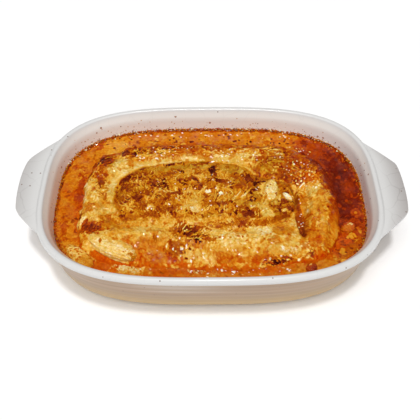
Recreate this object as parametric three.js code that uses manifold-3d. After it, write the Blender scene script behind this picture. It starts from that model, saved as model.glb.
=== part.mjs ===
// Baked pasta in its own stoneware dish: a wide stack of lasagne sheets stands in a creamy tomato sauce,
// a narrower sheet lies on top of it, and a few loose pieces show at the surface.
// Millimetres, +Z up, origin at the centre of the dish's flat foot, +X along the handles.
import * as THREE from "three";
import { mergeVertices } from "three/addons/utils/BufferGeometryUtils.js";
import Module from "manifold-3d";

const wasm = await Module();
wasm.setup();

// ---- Driving dimensions ----
const GAP = 0.35; // clearance between pieces that touch
const DISH = {
  halfLength: 157,
  halfWidth: 108.4,
  height: 62,
  wall: 6,
  corner: 3.1, // power of the rounded rectangle: 2 is an ellipse
  lean: THREE.MathUtils.degToRad(10), // wall's angle from upright
  footRadius: 16,
  footInset: 26.2, // from the rim's outline to where the flat foot begins
};
// The handles were shaped by hand, so each has its own sizes. `middle` is its place along the side.
const HANDLES = {
  left: { middle: 5, reach: 21.2, rootHalf: 60, rampLength: 31, bow: 0.09, blend: 0.12 },
  right: { middle: -1.5, reach: 23.4, rootHalf: 60, rampLength: 32, bow: 0.07, blend: 0.06 },
};
const HANDLE_ROOT_BLEND = 0.16; // how softly a handle grows out of the rim, as a share of its reach
const SAUCE_LEVEL = 39;
const STACK = {
  x: -1.5,
  y: -6.2,
  halfLength: 120.5,
  halfWidth: 73.8,
  corner: 3.8,
  crest: 13, // above the sauce
  steep: 0.15, // the slope's share of the half width at the sides and back
  gentle: 0.36, // and at the front
};
const TOP = {
  x: -5,
  y: -4.5,
  halfLength: 84,
  halfWidth: 41.5,
  corner: 3.3,
  backBulge: 0.11, // how far its back edge swells, as a share of the half width
  bulgeTurn: THREE.MathUtils.degToRad(92),
  bulgeWidth: THREE.MathUtils.degToRad(20),
  underside: 44.5,
  edge: 49,
  frontEdge: 52,
  crown: 57,
};
// The stack dips round the top sheet: how deep as a share of its crest, how far out and how wide.
const DIP = { depth: 0.3, at: 1.06, width: 0.12 };
const SEGMENTS = { dish: 64, sauce: 64, stack: 80, top: 64, piece: 16 };

const FLOOR_ROUND = [0, 0.35, 0.7, 1]; // steps of the round between the dish's floor and wall

// ---- Small maths ----
const clamp01 = (t) => Math.min(1, Math.max(0, t));
const mix = (a, b, t) => a + (b - a) * t;
const smooth = (t) => clamp01(t) ** 2 * (3 - 2 * clamp01(t));
const bell = (distance, width) => Math.exp(-((distance / width) ** 2));

// The smaller of two values, rounded off over `blend`.
function softMin(a, b, blend) {
  const h = clamp01(0.5 + (b - a) / (2 * blend));
  return mix(b, a, h) - blend * h * (1 - h);
}

// A direction's distance to the edge of a rounded rectangle with half sides of 1.
const squareness = (turn, power) =>
  (Math.abs(Math.cos(turn)) ** power + Math.abs(Math.sin(turn)) ** power) ** (-1 / power);

// Uneven relief from a hashed lattice, -1 to 1, whose bumps are `size` across.
function relief(x, y, size, seed) {
  const hash = (i, j) => {
    const s = Math.sin(i * 127.1 + j * 311.7 + seed * 74.7) * 43758.5453;
    return s - Math.floor(s);
  };
  const u = x / size;
  const v = y / size;
  const i = Math.floor(u);
  const j = Math.floor(v);
  const near = mix(hash(i, j), hash(i + 1, j), smooth(u - i));
  const far = mix(hash(i, j + 1), hash(i + 1, j + 1), smooth(u - i));
  return 2 * mix(near, far, smooth(v - j)) - 1;
}

// ---- Solids from rings ----
// A closed body from a lathe whose rings are then placed by place(point, turn) -> [x, y, z].
function ringBody(profile, segments, place) {
  const rings = new THREE.LatheGeometry(
    profile.map((_, j) => new THREE.Vector2(1, j)),
    segments,
  );
  const position = rings.attributes.position;
  for (let k = 0; k < position.count; k++) {
    const step = Math.floor(k / profile.length) % segments;
    position.setXYZ(k, ...place(profile[k % profile.length], (step / segments) * 2 * Math.PI));
  }
  rings.deleteAttribute("normal");
  rings.deleteAttribute("uv");
  return toSolid(rings);
}

// The closed mesh as a solid, with collapsed triangles dropped and its faces pointing out.
function toSolid(geometry) {
  const merged = mergeVertices(geometry, 1e-4);
  const vertProperties = merged.attributes.position.array;
  const corner = (k) => new THREE.Vector3().fromArray(vertProperties, 3 * k);
  const triangles = [];
  let volume = 0;
  for (let t = 0; t < merged.index.count; t += 3) {
    const [a, b, c] = merged.index.array.slice(t, t + 3);
    if (a === b || b === c || c === a) continue;
    triangles.push([a, b, c]);
    volume += corner(a).dot(corner(b).cross(corner(c)));
  }
  if (volume < 0) triangles.forEach((t) => t.reverse());
  const triVerts = new Uint32Array(triangles.flat());
  return new wasm.Manifold(new wasm.Mesh({ numProp: 3, vertProperties, triVerts }));
}

function toMesh(name, solid, material) {
  const { numProp, vertProperties, triVerts } = solid.getMesh();
  const points = new Float32Array((vertProperties.length / numProp) * 3);
  for (let k = 0; k < points.length / 3; k++)
    points.set(vertProperties.subarray(k * numProp, k * numProp + 3), 3 * k);
  const geometry = new THREE.BufferGeometry()
    .setAttribute("position", new THREE.BufferAttribute(points, 3))
    .setIndex(new THREE.BufferAttribute(triVerts, 1));
  const mesh = new THREE.Mesh(geometry, material);
  mesh.name = name;
  return mesh;
}

// ---- Dish ----
// A point of the dish's plan, `inset` inside the rim's outline.
function dishPlan(inset, turn) {
  const k = squareness(turn, DISH.corner);
  return [
    (DISH.halfLength - inset) * k * Math.cos(turn),
    (DISH.halfWidth - inset) * k * Math.sin(turn),
  ];
}

// The leaning wall's outside: its inset at a height.
const wallTop = { z: DISH.height - 8.5, inset: 3.3 };
const wallInset = (z) => wallTop.inset + (wallTop.z - z) * Math.tan(DISH.lean);
const innerInset = (z) => wallInset(z) + DISH.wall / Math.cos(DISH.lean);

// A point of the round between floor and wall, `share` of the way up it and `off` clear of it.
function floorRound(share, off = 0) {
  const radius = DISH.footRadius - 2;
  const angle = share * (Math.PI / 2 - DISH.lean);
  return {
    inset: innerInset(DISH.wall + radius) + 0.9 * radius * (1 - Math.sin(angle)) + off * Math.sin(angle),
    z: DISH.wall + radius * (1 - Math.cos(angle)) + off * Math.cos(angle),
  };
}

// How far a handle stands out at a place along its side, 0 to 1.
function handleShare({ middle, rootHalf, rampLength, bow, blend }, y) {
  const along = y - middle;
  const ramp = (rootHalf - Math.abs(along)) / rampLength;
  const cut = softMin(ramp, 1 - bow * (along / rampLength) ** 2, blend);
  const rootLoss = HANDLE_ROOT_BLEND / 4;
  return Math.max(0, -softMin(-cut, 0, HANDLE_ROOT_BLEND) - rootLoss) / (1 - rootLoss);
}

function dishSolid() {
  const { height, wall, footRadius, footInset } = DISH;
  const profile = [{ hub: true, z: wall }, ...FLOOR_ROUND.map((share) => floorRound(share))];
  // The lip flares out over the wall. `out` is the share of the handle's reach that a point takes, and
  // `sag` how far it drops where the handle is at full reach.
  profile.push(
    { inset: innerInset(wallTop.z - 10), z: wallTop.z - 10 },
    { inset: innerInset(wallTop.z), z: wallTop.z },
    { inset: 6.2, z: height - 2.2 },
    { inset: 5.0, z: height - 0.5 },
    { inset: 3.2, z: height },
    { inset: 1.4, z: height - 0.6 },
    { inset: 0.2, z: height - 2.2, out: 0.06, sag: 0.4 },
    { inset: 0, z: height - 3.1, out: 0.9, sag: 0.4 },
    { inset: 0, z: height - 4.6, out: 1, sag: 1.2 },
    { inset: 0.5, z: height - 6, out: 0.95, sag: 3.6 },
    { inset: 1.8, z: height - 7, out: 0.4, sag: 5 },
    { inset: 3.2, z: wallTop.z, out: 0, sag: 5.5 },
    { inset: wallInset(30), z: 30 },
  );
  for (const share of [1, 0.66, 0.33, 0]) {
    const angle = share * (Math.PI / 2 - DISH.lean);
    profile.push({
      inset: footInset - footRadius * Math.sin(angle),
      z: footRadius * (1 - Math.cos(angle)),
    });
  }
  profile.push({ hub: true, z: 0 });
  return ringBody(profile, SEGMENTS.dish, ({ hub, inset, z, out = 0, sag = 0 }, turn) => {
    if (hub) return [0, 0, z];
    const [x, y] = dishPlan(inset, turn);
    const handle = x < 0 ? HANDLES.left : HANDLES.right;
    const share = handleShare(handle, y);
    return [x + Math.sign(x) * out * share * handle.reach, y, z - sag * share];
  });
}

// ---- Lower stack of sheets ----
const stackLobes = (turn) =>
  1 + 0.008 * Math.cos(3 * turn + 0.9) + 0.007 * Math.cos(5 * turn - 0.6) + 0.005 * Math.cos(8 * turn);

function stackPlan(share, turn, spread = 0) {
  const k = squareness(turn, STACK.corner) * stackLobes(turn) * share;
  return [
    STACK.x + (STACK.halfLength + spread) * k * Math.cos(turn),
    STACK.y + (STACK.halfWidth + spread) * k * Math.sin(turn),
  ];
}

// How far out a place lies: 0 at the middle of the stack, 1 at its waterline.
function stackShare(x, y) {
  const u = (x - STACK.x) / STACK.halfLength;
  const v = (y - STACK.y) / STACK.halfWidth;
  const turn = Math.atan2(v, u);
  return Math.hypot(u, v) / (squareness(turn, STACK.corner) * stackLobes(turn));
}

// Broad swellings of the stack's top: folds of the sheets and what lies under the cheese.
const SWELLINGS = [
  { x: -108, y: -8, long: 24, wide: 12, turn: 86, rise: 2.4 }, // left fold
  { x: -107, y: 42, long: 14, wide: 9, turn: 40, rise: 2.2 }, // back left corner
  { x: -58, y: 57, long: 30, wide: 7, turn: 2, rise: 1.8 }, // back ridge, left half
  { x: 45, y: 58, long: 42, wide: 7, turn: -3, rise: 1.5 }, // back ridge, right half
  { x: 103, y: -14, long: 32, wide: 11, turn: 84, rise: 2.2 }, // right ridge
  { x: 40, y: -58, long: 44, wide: 9, turn: 0, rise: 2.4 }, // front ridge
  { x: -60, y: -50, long: 24, wide: 7, turn: -4, rise: 2.2 }, // front left shoulder
  { x: -108, y: -40, long: 14, wide: 5, turn: -12, rise: -3.2 }, // crease between the left folds
  { x: -46, y: -64, long: 18, wide: 8, turn: -10, rise: -3.6 }, // hollow that sauce has run into
  { x: 84, y: -30, long: 22, wide: 5.5, turn: 82, rise: -6 }, // gully beside the top sheet
];

function swellingAt(x, y, { x: cx, y: cy, long, wide, turn, rise }) {
  const angle = THREE.MathUtils.degToRad(turn);
  const along = (x - cx) * Math.cos(angle) + (y - cy) * Math.sin(angle);
  const across = (y - cy) * Math.cos(angle) - (x - cx) * Math.sin(angle);
  return rise * bell(Math.hypot(along / long, across / wide), 1);
}

// 1 where a place faces the dish's front, 0 at its sides and back.
const frontness = (x, y) =>
  smooth(-((y - STACK.y) / STACK.halfWidth) / Math.max(stackShare(x, y), 0.2) - 0.25);

// The stack slopes gently to the front and steeply elsewhere, and dips round the top sheet's back and sides.
function stackHeight(x, y) {
  const front = frontness(x, y);
  const t = clamp01((1 - stackShare(x, y)) / mix(STACK.steep, STACK.gentle, front));
  const swell = SWELLINGS.reduce((sum, s) => sum + swellingAt(x, y, s), 0);
  const rough = 0.7 * relief(x, y, 17, 1) + 0.45 * relief(x, y, 8, 2);
  const dip = DIP.depth * (1 - front) * bell(topShare(x, y) - DIP.at, DIP.width);
  const rise = STACK.crest * (1 - dip) * Math.sqrt(1 - (1 - t) ** 2);
  return SAUCE_LEVEL + Math.max(0.2, rise + (swell + rough) * smooth(2.5 * t));
}

function stackSolid() {
  const floor = DISH.wall + GAP;
  const shares = [1, 0.985, 0.96, 0.93, 0.895, 0.86, 0.82, 0.78, 0.73, 0.67, 0.6, 0.5, 0.35, 0.18];
  const profile = [{ share: 0, z: floor }, { share: 0.86, z: floor }, { share: 1, z: floor + 12 }];
  shares.forEach((share) => profile.push({ share }));
  profile.push({ share: 0 });
  return ringBody(profile, SEGMENTS.stack, ({ share, z }, turn) => {
    const [x, y] = stackPlan(share, turn);
    return [x, y, z ?? (share === 1 ? SAUCE_LEVEL + 0.2 : stackHeight(x, y))];
  });
}

// ---- Top sheet ----
// Its edge's distance from the middle, in half sizes. Its back right corner is cut off slantwise, so the
// outline's power falls there, and its back edge swells towards the back wall.
function topEdge(turn) {
  const inCorner = Math.cos(turn) > 0 && Math.sin(turn) > 0;
  const power = TOP.corner - (inCorner ? 1.9 * Math.sin(2 * turn) : 0);
  return squareness(turn, power) * (1 + TOP.backBulge * bell(turn - TOP.bulgeTurn, TOP.bulgeWidth));
}

function topPlan(share, turn, spread = 0) {
  const k = topEdge(turn) * share;
  return [
    TOP.x + (TOP.halfLength + spread) * k * Math.cos(turn),
    TOP.y + (TOP.halfWidth + spread) * k * Math.sin(turn),
  ];
}

function topShare(x, y) {
  const u = (x - TOP.x) / TOP.halfLength;
  const v = (y - TOP.y) / TOP.halfWidth;
  const turn = Math.atan2(v, u);
  return Math.hypot(u, v) / topEdge(turn);
}

function topHeight(x, y) {
  const share = Math.min(1, topShare(x, y));
  const rough = 0.6 * relief(x, y, 15, 3) + 0.5 * relief(x, y, 7, 4) - 0.4;
  const edge = mix(TOP.edge, TOP.frontEdge, frontness(x, y));
  return mix(TOP.crown, edge, share ** 2.6) + rough * smooth(4 * (1 - share));
}

function topSolid() {
  const profile = [{ share: 0, z: TOP.underside }, { share: 1, z: TOP.underside }];
  for (const share of [1, 0.96, 0.9, 0.82, 0.72, 0.6, 0.46, 0.3, 0.15, 0]) profile.push({ share });
  return ringBody(profile, SEGMENTS.top, ({ share, z }, turn) => {
    const [x, y] = topPlan(share, turn);
    return [x, y, z ?? topHeight(x, y)];
  });
}

// What is cut from the stack to seat the top sheet, open above.
function topSeat() {
  const floor = TOP.underside - GAP;
  const profile = [{ share: 0, z: floor }, { share: 1, z: floor }, { share: 1, z: 90 }, { share: 0, z: 90 }];
  return ringBody(profile, SEGMENTS.top, ({ share, z }, turn) => [...topPlan(share, turn, GAP), z]);
}

// ---- Loose pieces ----
// A lumpy rounded piece, turned on the spot; `sink` is how much of its height lies below `base`.
const PIECES = {
  sheet_corner: { x: -87, y: -59, half: [25, 10.5, 8], base: 44, turn: -28, lumps: 0.05 },
  cheese_island: { x: -116, y: -66, half: [18, 7.5, 4], base: 38.4, turn: -44, lumps: 0.1 },
  cheese_lump: { x: 56.5, y: -2, half: [12, 7, 4.5], base: 52.9, turn: 82, lumps: 0.07 },
  onion_sliver: { x: 71.5, y: -8, half: [7, 3.2, 3.4], base: 51.6, turn: -50, lumps: 0.03 },
  tomato_piece_side: { x: 125.5, y: -35, half: [6.8, 5.6, 4.6], base: 39.4, turn: 30, lumps: 0.12 },
  tomato_piece_front: { x: 88, y: -79, half: [5.2, 4.2, 3.6], base: 39.2, turn: 10, lumps: 0.12 },
};

function pieceSolid({ x, y, half, base, turn, lumps }, spread = 0) {
  const angle = THREE.MathUtils.degToRad(turn);
  const [long, wide, high] = half.map((size) => size + spread);
  const profile = [-1, -0.6, -0.2, 0.2, 0.6, 1].map((level) => ({ tilt: (level * Math.PI) / 2 }));
  return ringBody(profile, SEGMENTS.piece, ({ tilt }, around) => {
    const bulge = Math.abs(tilt) > 1.5 ? 1 : 1 + lumps * relief(5 * Math.cos(around), 5 * Math.sin(around), 2.5, x);
    const along = long * bulge * Math.cos(tilt) * Math.cos(around);
    const across = wide * bulge * Math.cos(tilt) * Math.sin(around);
    return [
      x + along * Math.cos(angle) - across * Math.sin(angle),
      y + along * Math.sin(angle) + across * Math.cos(angle),
      base + high * Math.sin(tilt),
    ];
  });
}

// ---- Sauce ----
// A ring from the stack out to the dish's wall, up to the level that shows.
function sauceSolid() {
  const floor = DISH.wall + GAP;
  const profile = [
    { stack: 0.86, z: floor },
    ...FLOOR_ROUND.map((share) => floorRound(share, GAP)),
    { inset: innerInset(SAUCE_LEVEL) + GAP, z: SAUCE_LEVEL + 0.6 },
    { inset: innerInset(SAUCE_LEVEL) + 3, z: SAUCE_LEVEL },
    { stack: 1, z: SAUCE_LEVEL },
    { stack: 1, z: floor + 12 },
  ];
  profile.push(profile[0]);
  return ringBody(profile, SEGMENTS.sauce, ({ stack, inset, z }, turn) => {
    const [x, y] = stack ? stackPlan(stack, turn, 2 * GAP) : dishPlan(inset, turn);
    return [x, y, z];
  });
}

// ---- Finishes ----
const finish = (color, roughness) => new THREE.MeshStandardMaterial({ color, roughness, metalness: 0 });
const FINISHES = {
  stoneware: finish("#d9d4ce", 0.25),
  sauce: finish("#c76415", 0.3),
  bakedCheese: finish("#d99c3f", 0.45),
  brownedCheese: finish("#a95f22", 0.45),
  paleCheese: finish("#ebc26a", 0.4),
  onion: finish("#e6d3a4", 0.35),
  tomato: finish("#a8401a", 0.3),
};

// ---- Assembly ----
// Each piece is cut clear of those that it presses into.
const looseSolids = Object.entries(PIECES).map(([name, piece]) => [name, piece, pieceSolid(piece)]);
const sockets = looseSolids.map(([, piece]) => pieceSolid(piece, GAP));
const clearOfPieces = (solid) => sockets.reduce((left, socket) => left.subtract(socket), solid);

const top = clearOfPieces(topSolid());
const stack = clearOfPieces(stackSolid()).subtract(topSeat());
const sauce = clearOfPieces(sauceSolid());

const bakedPasta = new THREE.Group();
bakedPasta.add(toMesh("dish", dishSolid(), FINISHES.stoneware));
bakedPasta.add(toMesh("sauce", sauce, FINISHES.sauce));
bakedPasta.add(toMesh("sheet_stack", stack, FINISHES.bakedCheese));
bakedPasta.add(toMesh("top_sheet", top, FINISHES.brownedCheese));
const pieceFinish = {
  sheet_corner: FINISHES.paleCheese,
  cheese_island: FINISHES.paleCheese,
  cheese_lump: FINISHES.paleCheese,
  onion_sliver: FINISHES.onion,
  tomato_piece_side: FINISHES.tomato,
  tomato_piece_front: FINISHES.tomato,
};
for (const [name, , solid] of looseSolids) bakedPasta.add(toMesh(name, solid, pieceFinish[name]));

export default bakedPasta;
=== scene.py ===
"""Baked pasta: a stack of lasagne sheets under browned cheese, in creamy tomato sauce, in its stoneware dish.

Sizes are in millimetres in the part's own frame: the origin is the centre of the dish's foot, +X runs along
the handles, +Y to the back and +Z up. Meshes are written in metres.
"""

import logging
import math
from collections.abc import Callable, Sequence
from dataclasses import dataclass, field
from enum import Enum
from typing import Any

import bmesh
import bpy
import numpy as np
from bpy.types import Material, Mesh, Node, NodeSocket, NodeTree, Object
from mathutils import Matrix, Vector


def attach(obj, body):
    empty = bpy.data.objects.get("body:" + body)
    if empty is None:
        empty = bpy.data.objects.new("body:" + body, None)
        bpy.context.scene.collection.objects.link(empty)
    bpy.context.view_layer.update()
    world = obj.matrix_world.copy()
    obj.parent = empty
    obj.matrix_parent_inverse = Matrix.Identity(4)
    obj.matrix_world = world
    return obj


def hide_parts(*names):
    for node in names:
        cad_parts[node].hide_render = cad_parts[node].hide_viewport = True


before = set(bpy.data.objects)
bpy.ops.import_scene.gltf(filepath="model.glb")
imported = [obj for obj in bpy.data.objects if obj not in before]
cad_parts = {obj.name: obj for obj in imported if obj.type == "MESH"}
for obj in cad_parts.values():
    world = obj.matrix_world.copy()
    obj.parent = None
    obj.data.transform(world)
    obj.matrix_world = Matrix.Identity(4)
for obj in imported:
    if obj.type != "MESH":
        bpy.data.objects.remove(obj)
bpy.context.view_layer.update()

MM = 0.001  # metres in a millimetre
BODY = "root"
log = logging.getLogger("baked_pasta")

Field = np.ndarray


# ---- Small maths ----


def clamp01(value: Field) -> Field:
    """The value, kept from 0 to 1."""
    return np.clip(value, 0.0, 1.0)


def smooth(value: Field) -> Field:
    """An S-shaped rise from 0 to 1."""
    t = clamp01(value)
    return t * t * (3 - 2 * t)


def mix(a: Field, b: Field, share: Field) -> Field:
    """The blend of a and b, where share 0 is a and 1 is b."""
    return a + (b - a) * share


def bell(distance: Field, width: float) -> Field:
    """A bell curve, 1 where the distance is 0."""
    return np.exp(-((distance / width) ** 2))


def soft_min(a: Field, b: Field, blend: float) -> Field:
    """The smaller of two values, rounded off over blend."""
    h = clamp01(0.5 + (b - a) / (2 * blend))
    return mix(b, a, h) - blend * h * (1 - h)


def squareness(turn: Field, power: Field) -> Field:
    """A rounded rectangle's reach in a direction, for half sides of 1. Power 2 makes it an ellipse."""
    return (np.abs(np.cos(turn)) ** power + np.abs(np.sin(turn)) ** power) ** (-1 / power)


@dataclass(frozen=True)
class Noise:
    """Seeded smooth noise over the plan.

    Attributes:
        seed: Sets the pattern.
    """

    seed: int

    def _hash(self, i: Field, j: Field, salt: int = 0) -> Field:
        """A random number for each lattice point.

        Args:
            i, j: The points' places on the lattice.
            salt: Picks one of several patterns.

        Returns:
            Numbers from 0 to 1.
        """
        n = (i * 374761393 + j * 668265263 + (self.seed * 31 + salt) * 974634777) & 0xFFFFFFFF
        n = ((n ^ (n >> 13)) * 1274126177) & 0xFFFFFFFF
        return ((n ^ (n >> 16)) & 0xFFFFFF) / 0xFFFFFF

    def wave(self, x: Field, y: Field, size: float) -> Field:
        """Gradient noise.

        Args:
            x, y: Places in plan.
            size: How far across its bumps are.

        Returns:
            Values from about -1 to 1.
        """
        u, v = x / size, y / size
        i, j = np.floor(u).astype(np.int64), np.floor(v).astype(np.int64)
        total = np.zeros_like(u, dtype=float)
        for di in (0, 1):
            for dj in (0, 1):
                angle = self._hash(i + di, j + dj) * 2 * math.pi
                dx, dy = u - i - di, v - j - dj
                fade = (1 - smooth(np.abs(dx))) * (1 - smooth(np.abs(dy)))
                total += fade * (np.cos(angle) * dx + np.sin(angle) * dy)
        return total * 1.6

    def fractal(self, x: Field, y: Field, size: float, octaves: int = 3, gain: float = 0.5) -> Field:
        """Noise with finer noise on it, from about -1 to 1.

        Args:
            x, y: Places in plan.
            size: How far across the largest bumps are.
            octaves: How many sizes are summed, each half the last.
            gain: Each size's share of the one before.

        Returns:
            The noise at each place.
        """
        total, weight, scale = np.zeros_like(x, dtype=float), 1.0, 0.0
        for octave in range(octaves):
            c, s = math.cos(0.9 * octave), math.sin(0.9 * octave)
            total += weight * self.wave(x * c - y * s + 57.3 * octave, x * s + y * c, size)
            scale += weight * weight
            weight *= gain
            size /= 2
        return total / math.sqrt(scale)

    def domes(self, x: Field, y: Field, size: float, share: float, soft: float = 0.2) -> Field:
        """Scattered low domes with round outlines.

        Args:
            x, y: Places in plan.
            size: The domes' spacing.
            share: The share of them that there are.
            soft: The width of their edge, in spacings.

        Returns:
            The highest dome at each place, 0 to 1.
        """
        u, v = x / size, y / size
        i, j = np.floor(u).astype(np.int64), np.floor(v).astype(np.int64)
        highest = np.zeros_like(u, dtype=float)
        for di in (-1, 0, 1):
            for dj in (-1, 0, 1):
                cell = (i + di, j + dj)
                distance = np.hypot(u - cell[0] - self._hash(*cell, 5), v - cell[1] - self._hash(*cell, 9))
                radius = 0.18 + 0.36 * self._hash(*cell, 17)
                dome = smooth((radius - distance) / soft + 0.5) * (self._hash(*cell, 13) < share)
                highest = np.maximum(highest, dome * smooth(4.5 - 4 * distance))
        return highest


@dataclass(frozen=True)
class Oval:
    """An oval area of the plan.

    Attributes:
        x, y: Its middle.
        long: Half its length.
        wide: Half its width.
        turn: The angle of its length from +X, in degrees.
    """

    x: float
    y: float
    long: float
    wide: float
    turn: float = 0.0

    def distance(self, x: Field, y: Field) -> Field:
        """How far out places lie.

        Args:
            x, y: Places in plan.

        Returns:
            0 in the middle and 1 on the oval's line.
        """
        angle = math.radians(self.turn)
        along = (x - self.x) * math.cos(angle) + (y - self.y) * math.sin(angle)
        across = (y - self.y) * math.cos(angle) - (x - self.x) * math.sin(angle)
        return np.hypot(along / self.long, across / self.wide)


@dataclass(frozen=True)
class Swelling(Oval):
    """A rounded rise, or a hollow where its rise is less than 0.

    Attributes:
        rise: Its height.
    """

    rise: float = 1.0

    def height(self, x: Field, y: Field) -> Field:
        """What it adds to the food's height."""
        return self.rise * bell(self.distance(x, y), 1.0)


@dataclass(frozen=True)
class Plateau(Oval):
    """A low piece with a flat top and a crisp edge.

    Attributes:
        rise: Its height.
    """

    rise: float = 1.0

    def height(self, x: Field, y: Field) -> Field:
        """What it adds to the food's height."""
        distance = self.distance(x, y)
        return self.rise * smooth((1.1 - distance) / 0.3) * (1 - 0.35 * np.minimum(distance, 1.2) ** 2)


@dataclass(frozen=True)
class Fold:
    """A crease or a raised strand along a line on the food.

    Attributes:
        points: The line's corners, in plan.
        width: How wide it is.
        rise: The strand's height, or less than 0 for a crease.
        step: How much higher the food is on the line's left side than on its right.
    """

    points: tuple[tuple[float, float], ...]
    width: float
    rise: float
    step: float = 0.0

    def height(self, x: Field, y: Field) -> Field:
        """What the fold adds to the food's height.

        Args:
            x, y: Places in plan.

        Returns:
            The height at each place.
        """
        near, side = np.full_like(x, 1e6, dtype=float), np.ones_like(x, dtype=float)
        for (ax, ay), (bx, by) in zip(self.points, self.points[1:]):
            dx, dy = bx - ax, by - ay
            t = clamp01(((x - ax) * dx + (y - ay) * dy) / (dx * dx + dy * dy))
            distance = np.hypot(x - ax - t * dx, y - ay - t * dy)
            closer = distance < near
            near = np.where(closer, distance, near)
            side = np.where(closer, np.sign(dx * (y - ay) - dy * (x - ax)), side)
        shelf = 0.5 * side * smooth(near / self.width) * np.exp(-near / (4 * self.width))
        return self.rise * bell(near, self.width) + self.step * shelf


# ---- Meshes ----


def show_mesh(name: str, mesh: Mesh) -> Object:
    """Links a smooth-shaded mesh at the origin.

    Args:
        name: The object's name.
        mesh: Its shape, in metres.

    Returns:
        The new object.
    """
    mesh.shade_smooth()
    made = bpy.data.objects.new(name, mesh)
    bpy.context.scene.collection.objects.link(made)
    return made


def mesh_of(name: str, bm: bmesh.types.BMesh) -> Mesh:
    """Turns a bmesh into a mesh, and frees it.

    Args:
        name: The mesh's name.
        bm: Its shape.

    Returns:
        The new mesh.
    """
    mesh = bpy.data.meshes.new(name)
    bm.to_mesh(mesh)
    bm.free()
    return mesh


def points_of(mesh: Mesh) -> Field:
    """Every vertex's place.

    Args:
        mesh: Whose vertices.

    Returns:
        Rows of x, y and z, in the mesh's own units.
    """
    flat = np.empty(len(mesh.vertices) * 3)
    mesh.vertices.foreach_get("co", flat)
    return flat.reshape(-1, 3)


def place_points(mesh: Mesh, points: Field) -> None:
    """Moves every vertex to its row of points, in millimetres."""
    mesh.vertices.foreach_set("co", (points * MM).ravel())
    mesh.update()


def plan_of(made: Object) -> tuple[Field, Field, Field]:
    """An object's vertices as x, y and z arrays, in millimetres."""
    x, y, z = (points_of(made.data) / MM).T
    return x, y, z


def write_number(made: Object, name: str, values: Field) -> None:
    """Stores one number a vertex, for the material to read."""
    attribute = made.data.attributes.new(name, "FLOAT", "POINT")
    attribute.data.foreach_set("value", np.asarray(values, dtype=np.float32))


def write_colour(made: Object, screen: Field) -> None:
    """Stores one colour a vertex, for the material to read.

    Args:
        made: The object.
        screen: Rows of sRGB red, green and blue.
    """
    attribute = made.data.attributes.new("paint", "FLOAT_COLOR", "POINT")
    rows = np.column_stack([to_linear(clamp01(screen)), np.ones(len(screen))])
    attribute.data.foreach_set("color", rows.astype(np.float32).ravel())


def crisp(made: Object, values: Field, strength: float = 0.6, spread: int = 5) -> Field:
    """Strengthens the differences between neighbouring vertices.

    Args:
        made: The object that the vertices belong to.
        values: A row for each vertex.
        strength: The share of each difference that is added.
        spread: How many vertices away it compares.

    Returns:
        The new rows.
    """
    mesh = made.data
    pairs = np.empty(len(mesh.edges) * 2, dtype=np.int64)
    mesh.edges.foreach_get("vertices", pairs)
    a, b = pairs.reshape(-1, 2).T
    ends = np.concatenate([a, b])
    others = np.concatenate([b, a])
    neighbours = np.bincount(ends, minlength=len(values))
    blurred = values
    for _ in range(spread):
        sums = np.column_stack([np.bincount(ends, column[others], len(values)) for column in blurred.T])
        blurred = (blurred + sums) / (1 + neighbours)[:, None]
    return values + strength * (values - blurred)


def weld(mesh: Mesh) -> None:
    """Joins a surface's touching vertices, and turns its faces outward.

    Args:
        mesh: The surface.
    """
    bm = bmesh.new()
    bm.from_mesh(mesh)
    bmesh.ops.remove_doubles(bm, verts=bm.verts, dist=0.002 * MM)
    bmesh.ops.recalc_face_normals(bm, faces=bm.faces)
    bm.to_mesh(mesh)
    bm.free()


def grid_mesh(name: str, columns: int, rows: int) -> Mesh:
    """A flat grid from -1 to 1 both ways.

    Args:
        name: The mesh's name.
        columns, rows: How many faces it has each way.

    Returns:
        The new mesh.
    """
    bm = bmesh.new()
    bmesh.ops.create_grid(bm, x_segments=columns, y_segments=rows, size=1.0)
    return mesh_of(name, bm)


def ring_surface(name: str, rows: Field, columns: int, place: Callable[[Field, Field], Field]) -> Object:
    """A closed surface made of rings round the dish's middle.

    Args:
        name: The object's name.
        rows: Each ring's own number, which place reads.
        columns: How many vertices a ring has.
        place: Takes the rings' numbers and the turns in radians, and returns rows of x, y, z.

    Returns:
        The new object.
    """
    mesh = grid_mesh(name, columns, len(rows) - 1)
    grid = points_of(mesh)
    turn = (grid[:, 0] + 1) * math.pi
    row = rows[np.rint((grid[:, 1] + 1) / 2 * (len(rows) - 1)).astype(int)]
    place_points(mesh, place(row, turn))
    weld(mesh)
    return show_mesh(name, mesh)


# ---- Colours and patches ----


def to_linear(screen: Field) -> Field:
    """Screen (sRGB) values from 0 to 1 as linear values."""
    return np.where(screen <= 0.04045, screen / 12.92, ((screen + 0.055) / 1.055) ** 2.4)


def screen_colour(code: str) -> Field:
    """A sRGB hex code as red, green and blue from 0 to 1."""
    return np.array([int(code[k : k + 2], 16) / 255 for k in (1, 3, 5)])


def colour(code: str) -> tuple[float, float, float, float]:
    """A sRGB hex code as linear red, green, blue and alpha."""
    return (*to_linear(screen_colour(code)), 1.0)


@dataclass(frozen=True)
class Scale:
    """Colours from burnt to pale, one for each tenth of tone.

    Attributes:
        stops: The sRGB hex codes.
    """

    stops: tuple[str, ...]

    def at(self, tone: Field) -> Field:
        """The colours at tones.

        Args:
            tone: Tones, 0 for burnt.

        Returns:
            Rows of sRGB red, green and blue.
        """
        places = 0.1 * np.arange(len(self.stops))
        codes = np.array([screen_colour(code) for code in self.stops])
        return np.column_stack([np.interp(tone, places, codes[:, k]) for k in range(3)])


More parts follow.
